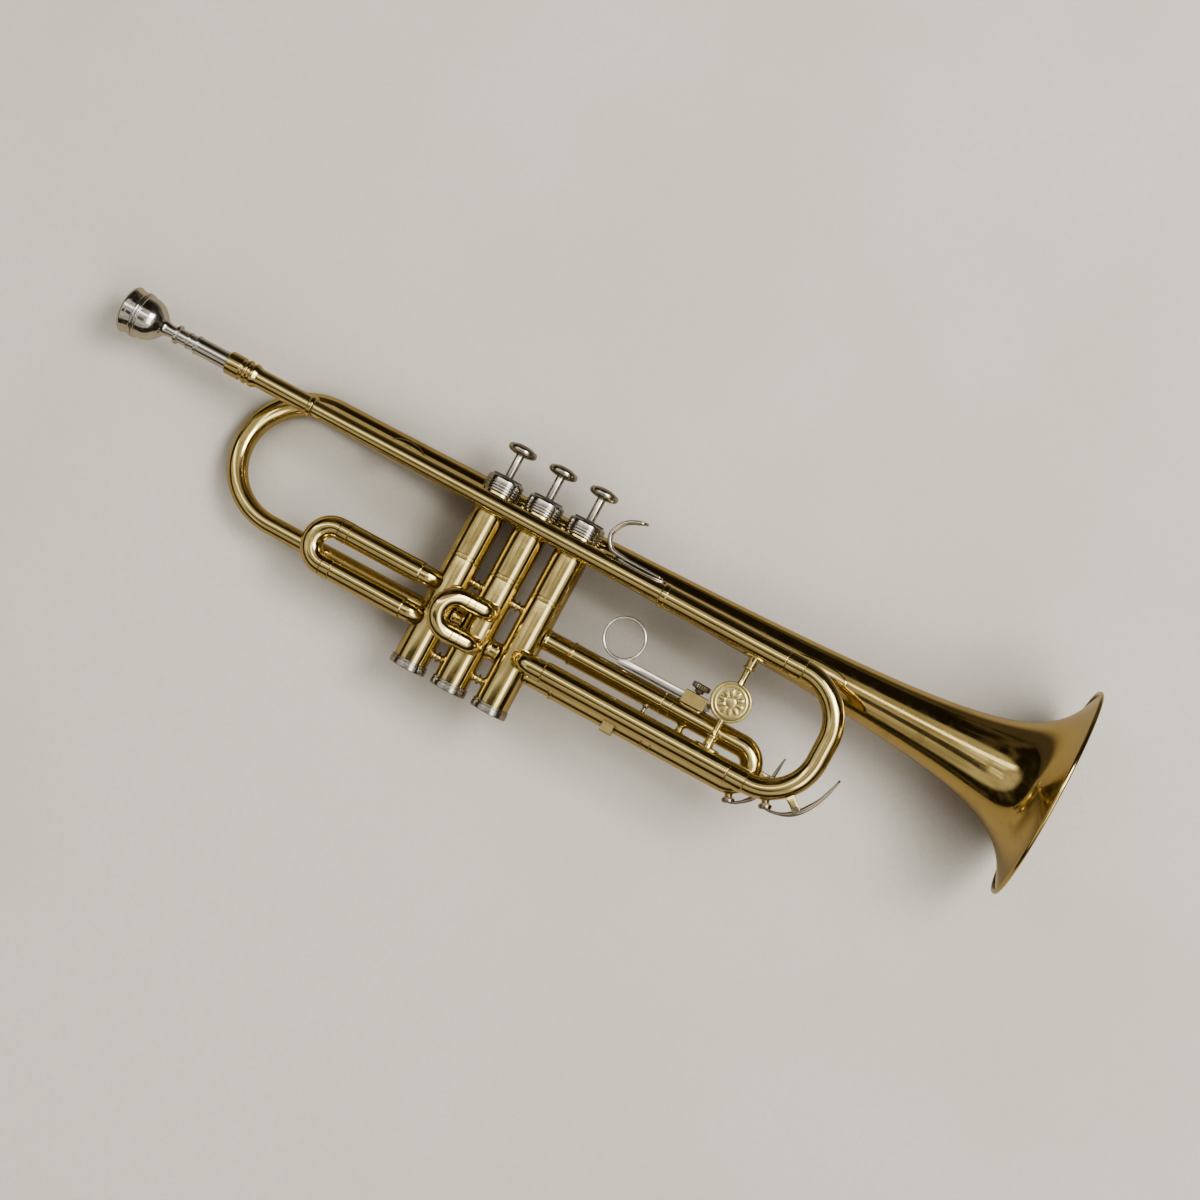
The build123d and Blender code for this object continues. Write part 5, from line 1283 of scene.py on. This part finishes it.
# a window that lights the right of the casings
window = n.times(band(x_, 0.44, 0.70, 0.03), band(z_, -0.42, 0.5, 0.05))
window = n.times(window, n.range(above, 0.0, 0.1))
sky = n.mix(window, sky, rgb(5.4, 5.25, 4.8))
# smaller panes toward the mouthpiece, seen in the bell's flare and in the bows
panes = n.times(band(x_, -0.68, -0.34, 0.02), band(z_, -0.34, 0.20, 0.02))
slats = n.range(n.math("SINE", n.times(z_, 62.0)), -0.5, 0.3, 0.25, 1.0)
bars = n.math("MAXIMUM", band(x_, -0.53, -0.49, 0.012), band(z_, -0.12, -0.05, 0.012))
panes = n.times(n.times(panes, slats), n.math("SUBTRACT", 1.0, bars))
sky = n.mix(panes, sky, rgb(1.5, 1.45, 1.33))
streak = n.times(band(z_, 0.12, 0.24, 0.02), band(x_, -0.75, 0.36, 0.05))
streak = n.times(streak, n.range(above, 0.0, 0.2))
sky = n.mix(streak, sky, rgb(4.0, 3.87, 3.55))
card = n.times(band(x_, -0.50, 0.22, 0.03), band(z_, -0.46, -0.19, 0.03))
card = n.times(card, n.range(above, 0.0, 0.2))
sky = n.mix(n.times(card, 0.92), sky, rgb(0.03, 0.024, 0.017))
seen = n.mix(n.add("LightPath").outputs["Is Camera Ray"], sky, rgb(0.80, 0.78, 0.745))
n.add("OutputWorld", {
    "Surface": n.add("Background", {"Color": seen, "Strength": 1.0}).outputs["Background"],
})

lamp = bpy.data.lights.new("key_softbox", "AREA")
lamp.shape = "RECTANGLE"
lamp.size = lamp.size_y = 0.7
lamp.energy = 26.0
lamp.color = (1.0, 0.96, 0.9)
softbox = add_object("key_softbox", lamp)
softbox.location = (0.9, -1.5, 0.75)
aim = Vector((0.05, 0.0, 0.07)) - softbox.location
softbox.rotation_euler = aim.to_track_quat("-Z", "Y").to_euler()

# the camera's place beside, before and above the origin, in metres
CAMERA_SIDE, CAMERA_DISTANCE, CAMERA_HEIGHT = 0.0502, 1.250, 0.0828
YAW = radians(6.5)
ROLL = radians(28.3)
view_right = Vector((cos(YAW), sin(YAW), 0))
view_ahead = Vector((-sin(YAW), cos(YAW), 0))
camera_place = view_right * CAMERA_SIDE - view_ahead * CAMERA_DISTANCE + UP * CAMERA_HEIGHT
camera_x = view_right * cos(ROLL) + UP * sin(ROLL)
camera_y = UP * cos(ROLL) - view_right * sin(ROLL)
camera_z = -view_ahead
camera_data = bpy.data.cameras.new("photo_camera")
camera_data.lens = 69.0
camera_data.sensor_width = 36.0
camera = add_object("photo_camera", camera_data)
columns = (camera_x, camera_y, camera_z, camera_place)
camera.matrix_world = Matrix([[c[row] for c in columns] for row in range(3)] + [[0, 0, 0, 1]])
bpy.context.scene.camera = camera
